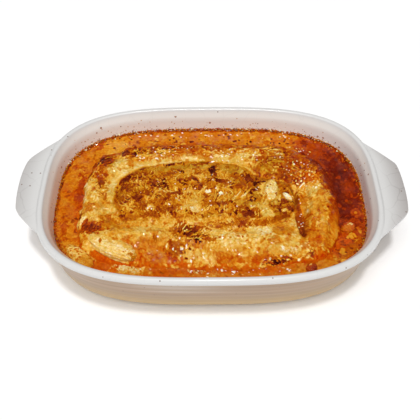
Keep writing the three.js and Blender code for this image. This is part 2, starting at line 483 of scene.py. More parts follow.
CHEESE_SCALE = Scale(
    ("#40100a", "#6b220f", "#8c380e", "#a44c0a", "#b6620a", "#c6780e")
    + ("#d48e1a", "#dea22e", "#e6b548", "#ecc566", "#f2d894", "#fbeecb")
)
SAUCE_SCALE = Scale(
    ("#4c0e08", "#6c180a", "#882a0a", "#a03606", "#b34a06", "#c05c06")
    + ("#c96c0a", "#cf7c18", "#d68c2a", "#dd9f46", "#e8b86c", "#f8e2bc")
)
RED_OIL_SCALE = Scale(
    ("#4a0c08", "#661408", "#842006", "#9e2e04", "#b23a04", "#c24804")
    + ("#cc5804", "#d46608", "#da7a18", "#e09338", "#ecb674", "#fae4c4")
)
OLIVE_SHIFT = np.array((0.13, 0.02, -0.12))  # what olive takes from red, green and blue


def food_colour(paint: Field) -> Field:
    """The colours of paint.

    Args:
        paint: Rows of (tone, soak, green).

    Returns:
        Rows of sRGB red, green and blue from 0 to 1.
    """
    tone, soak, green = paint.T
    screen = mix(CHEESE_SCALE.at(tone), SAUCE_SCALE.at(tone), clamp01(soak)[:, None])
    screen = mix(screen, RED_OIL_SCALE.at(tone), clamp01(soak - 1)[:, None])
    return screen * (1 - green[:, None] * OLIVE_SHIFT)


class Tint(Enum):
    """Kinds of cooked surface, as (tone, soak, green).

    Tone runs from 0, burnt, to 1, cream. Soak runs from 0, cheese, over 1, orange sauce, to 2, red oil.
    Green is how olive it is.
    """

    WHITE = (1.08, 0.0, 0.0)
    CREAM = (0.93, 0.0, 0.0)
    PALE = (0.83, 0.0, 0.0)
    YELLOW = (0.78, 0.1, 0.25)
    TAN = (0.76, 0.0, 0.0)
    GOLD = (0.66, 0.3, 0.0)
    AMBER = (0.54, 0.45, 0.0)
    TANGERINE = (0.62, 0.95, 0.0)
    ORANGE = (0.54, 1.0, 0.0)
    VERMILION = (0.5, 1.85, 0.0)
    BRICK = (0.34, 1.3, 0.0)
    WINE = (0.17, 1.0, 0.0)
    RUST = (0.34, 0.1, 0.0)
    BROWN = (0.22, 0.0, 0.0)
    MAROON = (0.12, 0.1, 0.0)
    CHAR = (0.0, 0.0, 0.0)
    OLIVE = (0.6, 0.0, 0.8)
    MOSS = (0.42, 0.0, 1.0)
    MEAT = (0.38, 0.1, 0.2)
    ROSE = (0.6, 0.4, -0.4)

    @property
    def paint(self) -> Field:
        """Its tone, soak and green."""
        return np.array(self.value)

    @property
    def screen(self) -> Field:
        """Its colour as sRGB red, green and blue from 0 to 1."""
        return food_colour(self.paint[None, :])[0]


WHITE, CREAM, PALE, YELLOW, TAN, GOLD, AMBER, TANGERINE, ORANGE, VERMILION = list(Tint)[:10]
BRICK, WINE, RUST, BROWN, MAROON, CHAR, OLIVE, MOSS, MEAT, ROSE = list(Tint)[10:]


@dataclass(frozen=True)
class Patch(Oval):
    """A patch of one kind of surface with a ragged edge.

    Attributes:
        tint: Its kind.
        cover: How much of what is under it it hides.
        broken: How far it is broken up.
        rough: The height of its crags.
    """

    tint: Tint = TAN
    cover: float = 0.85
    broken: float = 0.5
    rough: float = 0.0

    def covers(self, x: Field, y: Field, noise: Noise) -> Field:
        """How much the patch covers places.

        Args:
            x, y: Places in plan.
            noise: What breaks up its edge.

        Returns:
            The share that it hides, 0 to 1.
        """
        grain = min(max(0.9 * min(self.long, self.wide), 2.6), 7.0)
        distance = self.distance(x, y)
        near = distance < 2.0
        out = np.zeros_like(x, dtype=float)
        ragged = noise.fractal(x[near] + 7 * self.x, y[near], grain, 4, 0.72)
        out[near] = self.cover * smooth((1.2 - distance[near] + 1.3 * self.broken * ragged) / 0.5)
        return out


@dataclass(frozen=True)
class Flecks(Oval):
    """Many small round flecks over an area.

    Attributes:
        tint: Their colour.
        size: Their spacing.
        share: The share of places that hold one.
        rise: Their height.
    """

    tint: Tint = WHITE
    size: float = 3.0
    share: float = 0.3
    rise: float = 0.0

    def covers(self, x: Field, y: Field, noise: Noise) -> Field:
        """How much the flecks cover places.

        Args:
            x, y: Places in plan.
            noise: What bends their outlines.

        Returns:
            The share that they hide, 0 to 1.
        """
        near = self.distance(x, y) < 1.25
        near_x, near_y, bend = x[near], y[near], 0.4 * self.size
        bent_x = near_x + 11 * self.x + bend * noise.wave(near_x, near_y + 5 * self.y, self.size)
        bent_y = near_y + bend * noise.wave(near_x + 40, near_y, self.size)
        inside = smooth((1.2 - self.distance(near_x, near_y)) / 0.4)
        out = np.zeros_like(x, dtype=float)
        out[near] = 0.9 * inside * noise.domes(bent_x, bent_y, self.size, self.share)
        return out


@dataclass(frozen=True)
class Shreds(Oval):
    """Shreds of melted cheese, lying one over another.

    Attributes:
        tint: Their kind.
        count: How many there are.
        length: The longest one's length.
        thick: Half a shred's width.
        rise: Their height.
        focus: The place that they point away from.
        stray: How far they stray from that, in degrees.
        cover: How much of what is under them they hide.
        seed: The number that sets their random draws.
    """

    tint: Tint = TAN
    count: int = 100
    length: float = 14.0
    thick: float = 0.8
    rise: float = 0.5
    focus: tuple[float, float] = (-8.0, -95.0)
    stray: float = 35.0
    cover: float = 0.7
    seed: int = 5

    def crests(self, x: Field, y: Field) -> Field:
        """The shreds' shape, one over another.

        Args:
            x, y: Places in plan.

        Returns:
            The highest shred at each place, 0 to 1.
        """
        draw = np.random.default_rng([self.seed, self.count])
        out = np.zeros_like(x, dtype=float)
        tilt = math.radians(self.turn)
        for _ in range(self.count):
            around, away = draw.uniform(0, 2 * math.pi), math.sqrt(draw.uniform())
            u, v = self.long * away * math.cos(around), self.wide * away * math.sin(around)
            cx = self.x + u * math.cos(tilt) - v * math.sin(tilt)
            cy = self.y + u * math.sin(tilt) + v * math.cos(tilt)
            half, thick = self.length * draw.uniform(0.2, 0.5), self.thick * draw.uniform(0.6, 1.25)
            lie = math.atan2(cy - self.focus[1], cx - self.focus[0])
            lie += math.radians(draw.normal(0, self.stray))
            bend, full = draw.uniform(-0.4, 0.4) / half, draw.uniform(0.55, 1.0)
            near = (np.abs(x - cx) < half + 2) & (np.abs(y - cy) < half + 2)
            dx, dy = x[near] - cx, y[near] - cy
            along = dx * math.cos(lie) + dy * math.sin(lie)
            across = dy * math.cos(lie) - dx * math.sin(lie) - bend * along**2
            crest = clamp01(1 - (across / thick) ** 2) * smooth((half - np.abs(along)) / (0.4 * half))
            out[near] = np.maximum(out[near], full * crest)
        return out

    def covers(self, x: Field, y: Field, noise: Noise) -> Field:
        """How much the shreds cover places, 0 to 1."""
        worn = smooth(0.62 + 0.8 * noise.fractal(x + 17, y, 11.0, 2))
        return self.cover * worn * smooth(1.6 * self.crests(x, y))


Layer = Patch | Flecks | Shreds


def raised(layers: Sequence[Layer], x: Field, y: Field, noise: Noise) -> Field:
    """The relief of the layers' crags, flecks and shreds.

    Args:
        layers: The patches, flecks and shreds.
        x, y: Places in plan.
        noise: What their crags are made of.

    Returns:
        The height that they add, in millimetres.
    """
    crag = noise.fractal(x - 77, y, 2.8, 3, 0.7)
    total = np.zeros_like(x, dtype=float)
    for layer in layers:
        if isinstance(layer, Patch) and layer.rough:
            total += layer.rough * crag * layer.covers(x, y, noise)
        elif isinstance(layer, Flecks) and layer.rise:
            total += layer.rise * layer.covers(x, y, noise)
        elif isinstance(layer, Shreds):
            total += layer.rise * layer.crests(x, y)
    return total


def lay_over(paint: Field, layers: Sequence[Layer], x: Field, y: Field, noise: Noise) -> Field:
    """Lays patches, flecks and shreds over the food's paint, in order.

    Args:
        paint: What is under them, as rows of (tone, soak, green).
        layers: The patches, flecks and shreds.
        x, y: Places in plan.
        noise: What breaks up their edges.

    Returns:
        The new rows.
    """
    for layer in layers:
        paint = mix(paint, layer.tint.paint, layer.covers(x, y, noise)[:, None])
    return paint


# ---- Materials ----


def per_metre(size: float) -> float:
    """The texture scale of a pattern whose features are size millimetres across."""
    return 1 / (size * MM)


def add(tree: NodeTree, kind: str, inputs: dict[Any, Any] | None = None, **settings: Any) -> Node:
    """Adds a shader node.

    Args:
        tree: The material's node tree.
        kind: The node's type, without the word ShaderNode.
        inputs: A value or an output socket for each named or numbered input.
        **settings: The node's own settings, and stops, a ramp's (position, hex code or grey) pairs.

    Returns:
        The new node.
    """
    made = tree.nodes.new("ShaderNode" + kind)
    stops = settings.pop("stops", None)
    for name, value in settings.items():
        setattr(made, name, value)
    for name, value in (inputs or {}).items():
        if isinstance(value, NodeSocket):
            tree.links.new(value, made.inputs[name])
        else:
            made.inputs[name].default_value = value
    if stops:
        elements = made.color_ramp.elements
        while len(elements) < len(stops):
            elements.new(1.0)
        for element, (position, tone) in zip(elements, stops):
            element.position = position
            element.color = colour(tone) if isinstance(tone, str) else (tone, tone, tone, 1.0)
    return made


def new_material(name: str) -> tuple[Material, NodeTree]:
    """Makes a material with an empty node tree.

    Args:
        name: Its name.

    Returns:
        The material and its node tree.
    """
    material = bpy.data.materials.new(name)
    material.use_nodes = True
    material.node_tree.nodes.clear()
    return material, material.node_tree


def close_material(tree: NodeTree, shader: Node) -> None:
    """Links a shader to the material's output."""
    add(tree, "OutputMaterial", {"Surface": shader.outputs[0]})


@dataclass(frozen=True)
class FoodFinish:
    """A moist cooked surface, painted at its vertices.

    Its colour is painted darker in the low spots of its finest grain, as painted shade in those hollows, and
    a thin film of fat gives it small sharp glints where it is oily.

    Attributes:
        name: The material's name.
        grain: The size of its finest grains.
        dry: The roughness where there is no fat.
        oily: The roughness under fat.
        film: How much the film of fat reflects.
        bump: The depth of its finest grains.
        melt: How much light it lets through.
        shade: The painted shade in its finest hollows, as what they keep of its colour.
    """

    name: str
    grain: float = 1.5
    dry: float = 0.55
    oily: float = 0.28
    film: float = 0.45
    bump: float = 0.25
    melt: float = 0.35
    shade: str = "#ecd9b6"

    def build(self) -> Material:
        """Makes the material.

        Returns:
            The new material.
        """
        material, tree = new_material(self.name)
        place = add(tree, "TexCoord").outputs["Object"]
        grains = {"Vector": place, "Scale": per_metre(self.grain), "Detail": 1.0, "Roughness": 0.5}
        fine = add(tree, "TexNoise", grains).outputs["Fac"]
        paint = add(tree, "Attribute", attribute_name="paint").outputs["Color"]
        oil = add(tree, "Attribute", attribute_name="oil").outputs["Fac"]
        # Painted shade: the colour darkens where the fine grain, which also sets the bump, is low.
        shades = ((0.3, self.shade), (0.6, "#ffffff"))
        waver = add(tree, "ValToRGB", {"Fac": fine}, stops=shades).outputs["Color"]
        base = add(tree, "VectorMath", {0: paint, 1: waver}, operation="MULTIPLY").outputs[0]
        roughness = add(tree, "MapRange", {0: oil, 1: 0.0, 2: 1.0, 3: self.dry, 4: self.oily}).outputs[0]
        bump = add(tree, "Bump", {"Strength": 0.6, "Distance": self.bump * MM, "Height": fine}).outputs[0]
        film = add(tree, "MapRange", {0: oil, 1: 0.4, 2: 0.8, 3: 0.0, 4: self.film}).outputs[0]
        shader = add(
            tree,
            "BsdfPrincipled",
            {
                "Base Color": base,
                "Roughness": roughness,
                "IOR": 1.4,
                "Specular IOR Level": 0.04,
                "Subsurface Weight": self.melt,
                "Subsurface Radius": (1.0, 0.45, 0.15),
                "Subsurface Scale": 1.4 * MM,
                "Coat Weight": film,
                "Coat Roughness": 0.08,
                "Normal": bump,
            },
        )
        close_material(tree, shader)
        return material


# Cheese sauce that set and browned in the oven: dull and curdled, with a little fat on it.
BAKED_CHEESE = FoodFinish("Baked cheese sauce", 2.0, 0.6, 0.4, 0.8, 0.2)
# Cheese that melted into a net and browned hard: crisp, with beads of fat that catch the light.
BROWNED_CHEESE = FoodFinish("Browned cheese crust", 1.6, 0.6, 0.4, bump=0.5)
# A sheet corner or a curd of cheese sauce that stayed pale and soft: smooth and barely shiny.
PALE_CHEESE = FoodFinish("Pale cheese sauce", 2.0, 0.55, 0.35, bump=0.3)
# Creamy tomato sauce under a film of red oil: wet, grainy and glinting.
TOMATO_SAUCE = FoodFinish("Creamy tomato sauce", 2.2, 0.5, 0.35, 0.7, 0.15)
# Onion cooked until it turned clear: smooth and wet.
ONION = FoodFinish("Cooked onion", 2.5, 0.4, 0.25, 1.0, 0.15)
# Tomato baked soft in the sauce: wet, dark red and wrinkled.
TOMATO = FoodFinish("Cooked tomato", 1.5, 0.4, 0.2, 1.0, 0.3)
# Splashes of sauce that baked hard against the dish: dark, crisp crumbs.
CRUST = FoodFinish("Baked-on sauce", 0.8, 0.5, 0.3, 0.9, 0.1)


@dataclass(frozen=True)
class GlazeFinish:
    """Glazed stoneware: fired clay under a pale, glossy, finely crazed glaze.

    The glaze runs thin on the outside below the lip, where the tan clay shows through in turned rings, and
    the foot is plain. Iron in the clay leaves small brown specks. Baked sauce has splashed the inside above
    the food.

    Attributes:
        name: The material's name.
        glaze: The glaze where it is thick.
        inside: The glaze inside, painted lighter and warmer than the glaze on the rim: painted light bounced
            from the food.
        edge: The glaze on the handles, painted grey as painted shade.
        clay: The outside below the lip.
        clay_low: The outside near the foot, lighter and yellower: the clay's colour, in part painted light
            bounced up from the floor.
        sheen: A painted highlight: a paler streak on the outside below the lip in front.
        craze: The fine cracks in the glaze.
        speck: Iron specks.
        splash: Baked-on sauce.
        crumb: Small golden crumbs of it.
        craze_size: How far apart the cracks are.
    """

    name: str = "Crazed stoneware glaze"
    glaze: str = "#dddcda"
    inside: str = "#f2efe9"
    edge: str = "#b4afac"
    clay: str = "#a88868"
    clay_low: str = "#c2a068"
    # painted highlight: the paler colour laid over the front of the outer wall below the lip
    sheen: str = "#e4ddd6"
    craze: str = "#7d7874"
    speck: str = "#6a4426"
    splash: str = "#9a561c"
    crumb: str = "#c08a42"
    craze_size: float = 24.0

    def dots(self, tree: NodeTree, place: Any, spacing: float, share: Any, radius: float) -> Any:
        """Scattered round dots.

        Args:
            tree: The material's node tree.
            place: The socket of the place.
            spacing: How far apart they could lie, in millimetres.
            share: How many of them there are, 0 to 1, as a number or a socket.
            radius: Their largest radius, in spacings.

        Returns:
            The socket of how much they cover.
        """
        cell = add(tree, "TexVoronoi", {"Vector": place, "Scale": per_metre(spacing)}, feature="F1")
        number = add(tree, "SeparateColor", {0: cell.outputs["Color"]}).outputs[0]
        there = add(tree, "Math", {0: number, 1: share}, operation="LESS_THAN").outputs[0]
        fading = {0: cell.outputs["Distance"], 1: radius, 2: 1.6 * radius, 3: 0.85, 4: 0.0}
        disc = add(tree, "MapRange", fading).outputs[0]
        return add(tree, "Math", {0: disc, 1: there}, operation="MULTIPLY").outputs[0]

    def build(self) -> Material:
        """Makes the material.

        Returns:
            The new material.
        """
        material, tree = new_material(self.name)
        place = add(tree, "TexCoord").outputs["Object"]
        within, grip, clay, low, pool, splashed = (
            add(tree, "Attribute", attribute_name=name).outputs["Fac"]
            for name in ("inside", "grip", "clay", "low", "pool", "splashed")
        )

        def layer(cover: Any, under: Any, over: Any) -> Any:
            """One colour laid over another."""
            return add(tree, "Mix", {0: cover, 6: under, 7: over}, data_type="RGBA").outputs[2]

        # Painted shade: the handles are painted grey.
        thick = layer(grip, colour(self.glaze), colour(self.edge))
        # Painted light: the inside takes a lighter, warmer copy of the glaze.
        body = layer(within, thick, colour(self.inside))
        # Lighter and yellower towards the foot, in part as painted light bounced up from the floor.
        tan = layer(low, colour(self.clay), colour(self.clay_low))
        stretched = add(tree, "Mapping", {"Vector": place, "Scale": (0.015, 0.015, 1.0)}).outputs[0]
        turned = {"Vector": stretched, "Scale": per_metre(2.4), "Detail": 2.0, "Roughness": 0.6}
        rings = add(tree, "TexNoise", turned).outputs["Fac"]
        ring_tone = add(tree, "MapRange", {0: rings, 1: 0.3, 2: 0.7, 3: 0.86, 4: 1.14}).outputs[0]
        ringed = add(tree, "VectorMath", {0: tan, "Scale": ring_tone}, operation="SCALE").outputs[0]
        # Painted highlight: a paler streak across the front of the outer wall, broken up along the turned
        # rings.
        sheen_streaks = add(tree, "MapRange", {0: rings, 1: 0.35, 2: 0.65, 3: 0.2, 4: 1.0}).outputs[0]
        painted_sheen_cover = add(tree, "Math", {0: sheen_streaks, 1: pool}, operation="MULTIPLY").outputs[0]
        skin = layer(clay, body, layer(painted_sheen_cover, ringed, colour(self.sheen)))

        sway = add(tree, "TexNoise", {"Vector": place, "Scale": per_metre(14.0), "Detail": 2.0})
        bent = {0: sway.outputs["Color"], 1: (0.009, 0.009, 0.009), 2: place}
        swayed = add(tree, "VectorMath", bent, operation="MULTIPLY_ADD").outputs[0]
        cells = {"Vector": swayed, "Scale": per_metre(self.craze_size), "Randomness": 1.0}
        cracks = add(tree, "TexVoronoi", cells, feature="DISTANCE_TO_EDGE").outputs["Distance"]
        craze = add(tree, "ValToRGB", {"Fac": cracks}, stops=((0.0, 1.0), (0.022, 0.0))).outputs["Color"]
        craze_cover = add(tree, "MapRange", {0: grip, 1: 0.0, 2: 1.0, 3: 0.05, 4: 0.4}).outputs[0]
        crazed_share = add(tree, "Math", {0: craze, 1: craze_cover}, operation="MULTIPLY").outputs[0]
        crazed = layer(crazed_share, skin, colour(self.craze))

        specks = self.dots(tree, place, spacing=7.0, share=0.26, radius=0.075)
        specked = layer(specks, crazed, colour(self.speck))
        flecks = self.dots(tree, place, spacing=5.0, share=splashed, radius=0.17)
        flecked = layer(flecks, specked, colour(self.splash))
        many = add(tree, "Math", {0: splashed, 1: 2.2}, operation="MULTIPLY").outputs[0]
        crumbs = self.dots(tree, place, spacing=2.8, share=many, radius=0.17)
        fine_flecked = layer(crumbs, flecked, colour(self.crumb))

        dropped = {"Vector": place, "Scale": per_metre(2.2), "Detail": 2.0, "Roughness": 0.7}
        drops = add(tree, "TexNoise", dropped).outputs["Fac"]
        splash = add(tree, "Math", {0: drops, 1: splashed}, operation="ADD").outputs[0]
        splash_cover = add(tree, "ValToRGB", {"Fac": splash}, stops=((0.82, 0.0), (0.9, 0.85)))
        base = layer(splash_cover.outputs["Color"], fine_flecked, colour(self.splash))
        gloss = {"Base Color": base, "Roughness": 0.35, "IOR": 1.5, "Coat Weight": 0.2, "Coat Roughness": 0.1}
        close_material(tree, add(tree, "BsdfPrincipled", gloss))
        return material


# ---- Dish ----


@dataclass(frozen=True)
class ProfilePoint:
    """A point of the dish's section.

    Attributes:
        inset: How far it lies inside the rim's outline.
        z: Its height.
        out: The share of the handle's reach that it takes.
        sag: How far it drops where the handle is at full reach.
        zone: 0 inside, 1 on the lip and handles, 2 outside below the lip.
    """

    inset: float
    z: float
    out: float = 0.0
    sag: float = 0.0
    zone: float = 0.0


@dataclass(frozen=True)
class Handle:
    """A handle pressed out of the lip by hand.

    Attributes:
        middle: Its place along the side.
        reach: How far it stands out.
        root: Half its length at the lip.
        ramp: The length over which it comes out to its full reach.
        bow: How far its outer edge is rounded.
        blend: How softly its corners are rounded.
        root_blend: How softly it grows out of the lip, as a share of its reach.
    """

    middle: float
    reach: float
    root: float
    ramp: float
    bow: float
    blend: float
    root_blend: float = 0.16

    def share(self, y: Field) -> Field:
        """How far it stands out along the side.

        Args:
            y: Places along the side.

        Returns:
            The share of its reach, 0 to 1.
        """
        along = y - self.middle
        straight = (self.root - np.abs(along)) / self.ramp
        cut = soft_min(straight, 1 - self.bow * (along / self.ramp) ** 2, self.blend)
        loss = self.root_blend / 4
        return np.maximum(0, -soft_min(-cut, 0.0, self.root_blend) - loss) / (1 - loss)


@dataclass
class BakingDish:
    """The two-handled stoneware dish: one turned and pressed body, with its handles drawn out of the lip."""

    half_length: float = 157.0
    half_width: float = 108.4
    height: float = 62.0
    wall: float = 6.0
    corner: float = 3.1
    lean: float = math.radians(10)
    foot_radius: float = 16.0
    foot_inset: float = 26.2
    lip_depth: float = 8.5
    lip_overhang: float = 3.3
    left_handle: Handle = Handle(5.0, 21.15, 60.0, 31.0, 0.09, 0.12)
    right_handle: Handle = Handle(-1.5, 23.39, 60.0, 32.0, 0.07, 0.06)
    round_steps: int = 12
    lip_steps: int = 4
    turned_rings: int = 14
    ring_depth: float = 0.2
    columns: int = 288
    sauce_level: float = 39.0
    glaze: GlazeFinish = field(default_factory=GlazeFinish)

    def plan(self, inset: Field, turn: Field) -> tuple[Field, Field]:
        """The outline at an inset from the rim, in plan."""
        k = squareness(turn, self.corner)
        return (self.half_length - inset) * k * np.cos(turn), (self.half_width - inset) * k * np.sin(turn)

    def wall_inset(self, z: Field) -> Field:
        """The inset of the leaning wall's outside at a height."""
        return self.lip_overhang + (self.height - self.lip_depth - z) * math.tan(self.lean)

    def inner_inset(self, z: Field) -> Field:
        """The inset of the wall's inside at a height."""
        return self.wall_inset(z) + self.wall / math.cos(self.lean)

    def lip(self) -> list[ProfilePoint]:
        """The flared lip's section.

        Returns:
            Its points, from inside to outside.
        """
        top, under = self.height, self.height - self.lip_depth
        return [
            ProfilePoint(self.inner_inset(under), under),
            ProfilePoint(6.2, top - 2.2, zone=0.5),
            ProfilePoint(5.0, top - 0.5, zone=1),
            ProfilePoint(3.2, top, zone=1),
            ProfilePoint(1.4, top - 0.6, zone=1),
            ProfilePoint(0.2, top - 2.2, 0.06, 0.4, zone=1),
            ProfilePoint(0.0, top - 3.1, 0.9, 0.4, zone=1),
            ProfilePoint(0.0, top - 4.6, 1.0, 1.2, zone=1),
            ProfilePoint(0.5, top - 6.0, 0.95, 3.6, zone=1),
            ProfilePoint(1.8, top - 7.0, 0.4, 5.0, zone=1.3),
            ProfilePoint(3.2, under, 0.0, 5.5, zone=2),
        ]

    def smooth_lip(self) -> list[ProfilePoint]:
        """Draws a curve through the lip's points.

        Returns:
            The curve's points, from inside to outside.
        """
        rows = np.array([(p.inset, p.z, p.out, p.sag, p.zone) for p in self.lip()])
        rows = np.vstack([2 * rows[0] - rows[1], rows, 2 * rows[-1] - rows[-2]])
        curve = []
        for a, b, c, d in zip(rows, rows[1:], rows[2:], rows[3:]):
            for t in np.arange(self.lip_steps) / self.lip_steps:
                cubic = 2 * b + (c - a) * t + (2 * a - 5 * b + 4 * c - d) * t**2
                cubic += (3 * b - a - 3 * c + d) * t**3
                curve.append(0.5 * cubic)
        curve.append(rows[-2])
        return [ProfilePoint(max(r[0], 0.0), r[1], float(clamp01(r[2])), max(r[3], 0.0), r[4]) for r in curve]

    def profile(self) -> list[ProfilePoint]:
        """The dish's whole section.

        Returns:
            Its points, from the floor's middle over the lip to the foot's middle.
        """
        upright = math.pi / 2 - self.lean
        floor_radius = self.foot_radius - 2
        floor_inset = float(self.inner_inset(self.wall + floor_radius))
        turns = np.linspace(0, upright, self.round_steps)
        points = [
            ProfilePoint(
                floor_inset + 0.9 * floor_radius * (1 - math.sin(a)),
                self.wall + floor_radius * (1 - math.cos(a)),
            )
            for a in turns
        ]
        under = self.height - self.lip_depth
        inner = (26.0, 32.0, 38.0, under - 7, under - 4)
        points += [ProfilePoint(float(self.inner_inset(z)), z) for z in inner]
        points += self.smooth_lip()
        outer = np.linspace(under - 2, self.foot_radius + 2, self.turned_rings)
        waver = self.ring_depth * np.cos(outer * 0.9)
        insets = self.wall_inset(outer) + waver
        points += [ProfilePoint(float(i), float(z), zone=2) for i, z in zip(insets, outer)]
        points += [
            ProfilePoint(
                self.foot_inset - self.foot_radius * math.sin(a),
                self.foot_radius * (1 - math.cos(a)),
                zone=2,
            )
            for a in turns[::-1]
        ]
        return points

    def build(self) -> Object:
        """Turns the section, draws out the handles and dresses the dish.

        Returns:
            The finished dish.
        """
        section = self.profile()
        table = np.array([(p.inset, p.z, p.out, p.sag, p.zone) for p in section])
        bm = bmesh.new()
        ends = (-1, len(section))
        line = [bm.verts.new((0 if k in ends else 1, 0, k)) for k in range(-1, len(section) + 1)]
        edges = [bm.edges.new(pair) for pair in zip(line, line[1:])]
        full = {"angle": 2 * math.pi, "steps": self.columns, "use_merge": True}
        bmesh.ops.spin(bm, geom=line + edges, cent=(0, 0, 0), axis=(0, 0, 1), **full)
        bmesh.ops.remove_doubles(bm, verts=bm.verts, dist=1e-4)
        mesh = mesh_of("baking_dish", bm)
        rings = points_of(mesh)
        index = np.rint(rings[:, 2]).astype(int)
        turn = np.arctan2(rings[:, 1], rings[:, 0])
        row = table[np.clip(index, 0, len(section) - 1)]
        x, y = self.plan(row[:, 0], turn)
        left, right = self.left_handle, self.right_handle
        share = np.where(x < 0, left.share(y), right.share(y))
        x += row[:, 2] * share * np.where(x < 0, -left.reach, right.reach)
        z = row[:, 1] - row[:, 3] * share
        hub = (index < 0) | (index >= len(section))
        place_points(mesh, np.column_stack([np.where(hub, 0, x), np.where(hub, 0, y), z]))
        weld(mesh)
        made = show_mesh("baking_dish", mesh)
        self.dress(made, row[:, 4], share * smooth(row[:, 2]))
        return made

    def dress(self, made: Object, zone: Field, grip: Field) -> None:
        """Writes what the glaze reads, and gives the dish its finish.

        Args:
            made: The dish.
            zone: Each vertex's zone, as ProfilePoint gives it.
            grip: How far each vertex is out on a handle.
        """
        x, y, z = plan_of(made)
        inside = smooth((0.8 - zone) / 0.6)
        # Where the painted highlight lies: across the front of the outer wall, just below the lip and lower
        # down.
        pool = np.exp(-(((x + 25) / 34) ** 2)) * (bell(z - 47, 2.6) + 0.5 * bell(z - 39, 3.0)) * (y < 0)
        above = z - self.sauce_level
        back = smooth((y + 60) / 120)
        spray = 0.14 * bell(above - 2, 4.0) + 0.1 * bell(above - 7, 8.0)
        tide = 0.4 * bell(above, 1.6) + (0.3 + 0.7 * back) * spray
        write_number(made, "inside", inside)
        # The handle mask also sets the painted shade: the right handle takes it in full, the left one six
        # tenths of it.
        write_number(made, "grip", grip * np.where(x < 0, 0.6, 1.0))
        write_number(made, "clay", smooth((zone - 1.25) / 0.6))
        write_number(made, "low", smooth((34 - z) / 26))
        write_number(made, "pool", 0.8 * pool)
        write_number(made, "splashed", tide * inside)
        made.data.materials.append(self.glaze.build())
        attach(made, BODY)
        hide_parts("dish")


# ---- Food: form ----


@dataclass(frozen=True)
class Outline:
    """A rounded, slightly lobed rectangle in plan.

    Attributes:
        x, y: Its middle.
        half_length: Half its size along X.
        half_width: Half its size along Y.
        power: How square it is.
        lobes: (size, count, phase) of each wave round its edge.
        corner_cut: How far the power falls in the back right corner.
        bulge: How far the back edge swells, as a share of the half width.
        bulge_turn: The direction of that swelling's middle, in degrees.
        bulge_width: Its width, in degrees.
    """

    x: float
    y: float
    half_length: float
    half_width: float
    power: float
    lobes: tuple[tuple[float, int, float], ...] = ()
    corner_cut: float = 0.0
    bulge: float = 0.0
    bulge_turn: float = 92.0
    bulge_width: float = 20.0

    def reach(self, turn: Field) -> Field:
        """The edge's distance from the middle.

        Args:
            turn: Directions, in radians.

        Returns:
            The distance in each, for half sides of 1.
        """
        in_corner = (np.cos(turn) > 0) & (np.sin(turn) > 0)
        power = self.power - np.where(in_corner, self.corner_cut * np.sin(2 * turn), 0.0)
        lobes = 1 + sum(a * np.cos(n * turn + p) for a, n, p in self.lobes)
        swell = 1 + self.bulge * bell(turn - math.radians(self.bulge_turn), math.radians(self.bulge_width))
        return squareness(turn, power) * lobes * swell

    def place(self, share: Field, turn: Field) -> tuple[Field, Field]:
        """The plan of a share of the way out in a direction."""
        k = self.reach(turn) * share
        return self.x + self.half_length * k * np.cos(turn), self.y + self.half_width * k * np.sin(turn)

    def share(self, x: Field, y: Field) -> Field:
        """How far out places lie, 1 on the outline."""
        u, v = (x - self.x) / self.half_length, (y - self.y) / self.half_width
        return np.hypot(u, v) / self.reach(np.arctan2(v, u))


SWELLINGS = (
    # Long folds round the stack.
    Swelling(-108, -8, 24, 12, 86, 2.4),
    Swelling(-107, 42, 14, 9, 40, 2.2),
    Swelling(-58, 57, 30, 7, 2, 1.8),
    Swelling(45, 58, 42, 7, -3, 1.5),
    Swelling(103, -14, 32, 11, 84, 2.2),
    Swelling(40, -58, 44, 9, 0, 2.4),
    Swelling(-60, -50, 24, 7, -4, 2.2),
    # Hollows between them.
    Swelling(-108, -40, 14, 5, -12, -3.2),
    Swelling(-46, -64, 18, 8, -10, -3.6),
    Swelling(84, -30, 22, 5.5, 82, -6),
    Swelling(-96, 57, 8, 12, 0, -5),
    # Smaller bumps.
    Swelling(-57, -48, 15, 7, -4, 1.6),
    Swelling(-30, -64, 6, 4.5, 20, 1.4),
    Swelling(103, -42, 5, 5, 0, 1.3),
    Swelling(90, 24, 9, 12, 20, 1),
    Swelling(-70, 52, 14, 5, 4, 0.8),
    Swelling(70, 40, 12, 5, -20, 0.9),
    Swelling(54, -28, 7, 5, 40, 1.2),
    Swelling(-118, 4, 5, 22, 0, 1),
    Swelling(-93, 2, 3, 22, 0, 0.8),
    Swelling(-88, 34, 10, 7, 45, 1.2),
    Swelling(26, 43, 17, 5, -10, 1),
)

PLATEAUS = (
    Plateau(105, -23, 8.4, 8.8, 0, 1.1),
    Plateau(-105, 25, 7, 11, 30, 0.7),
)

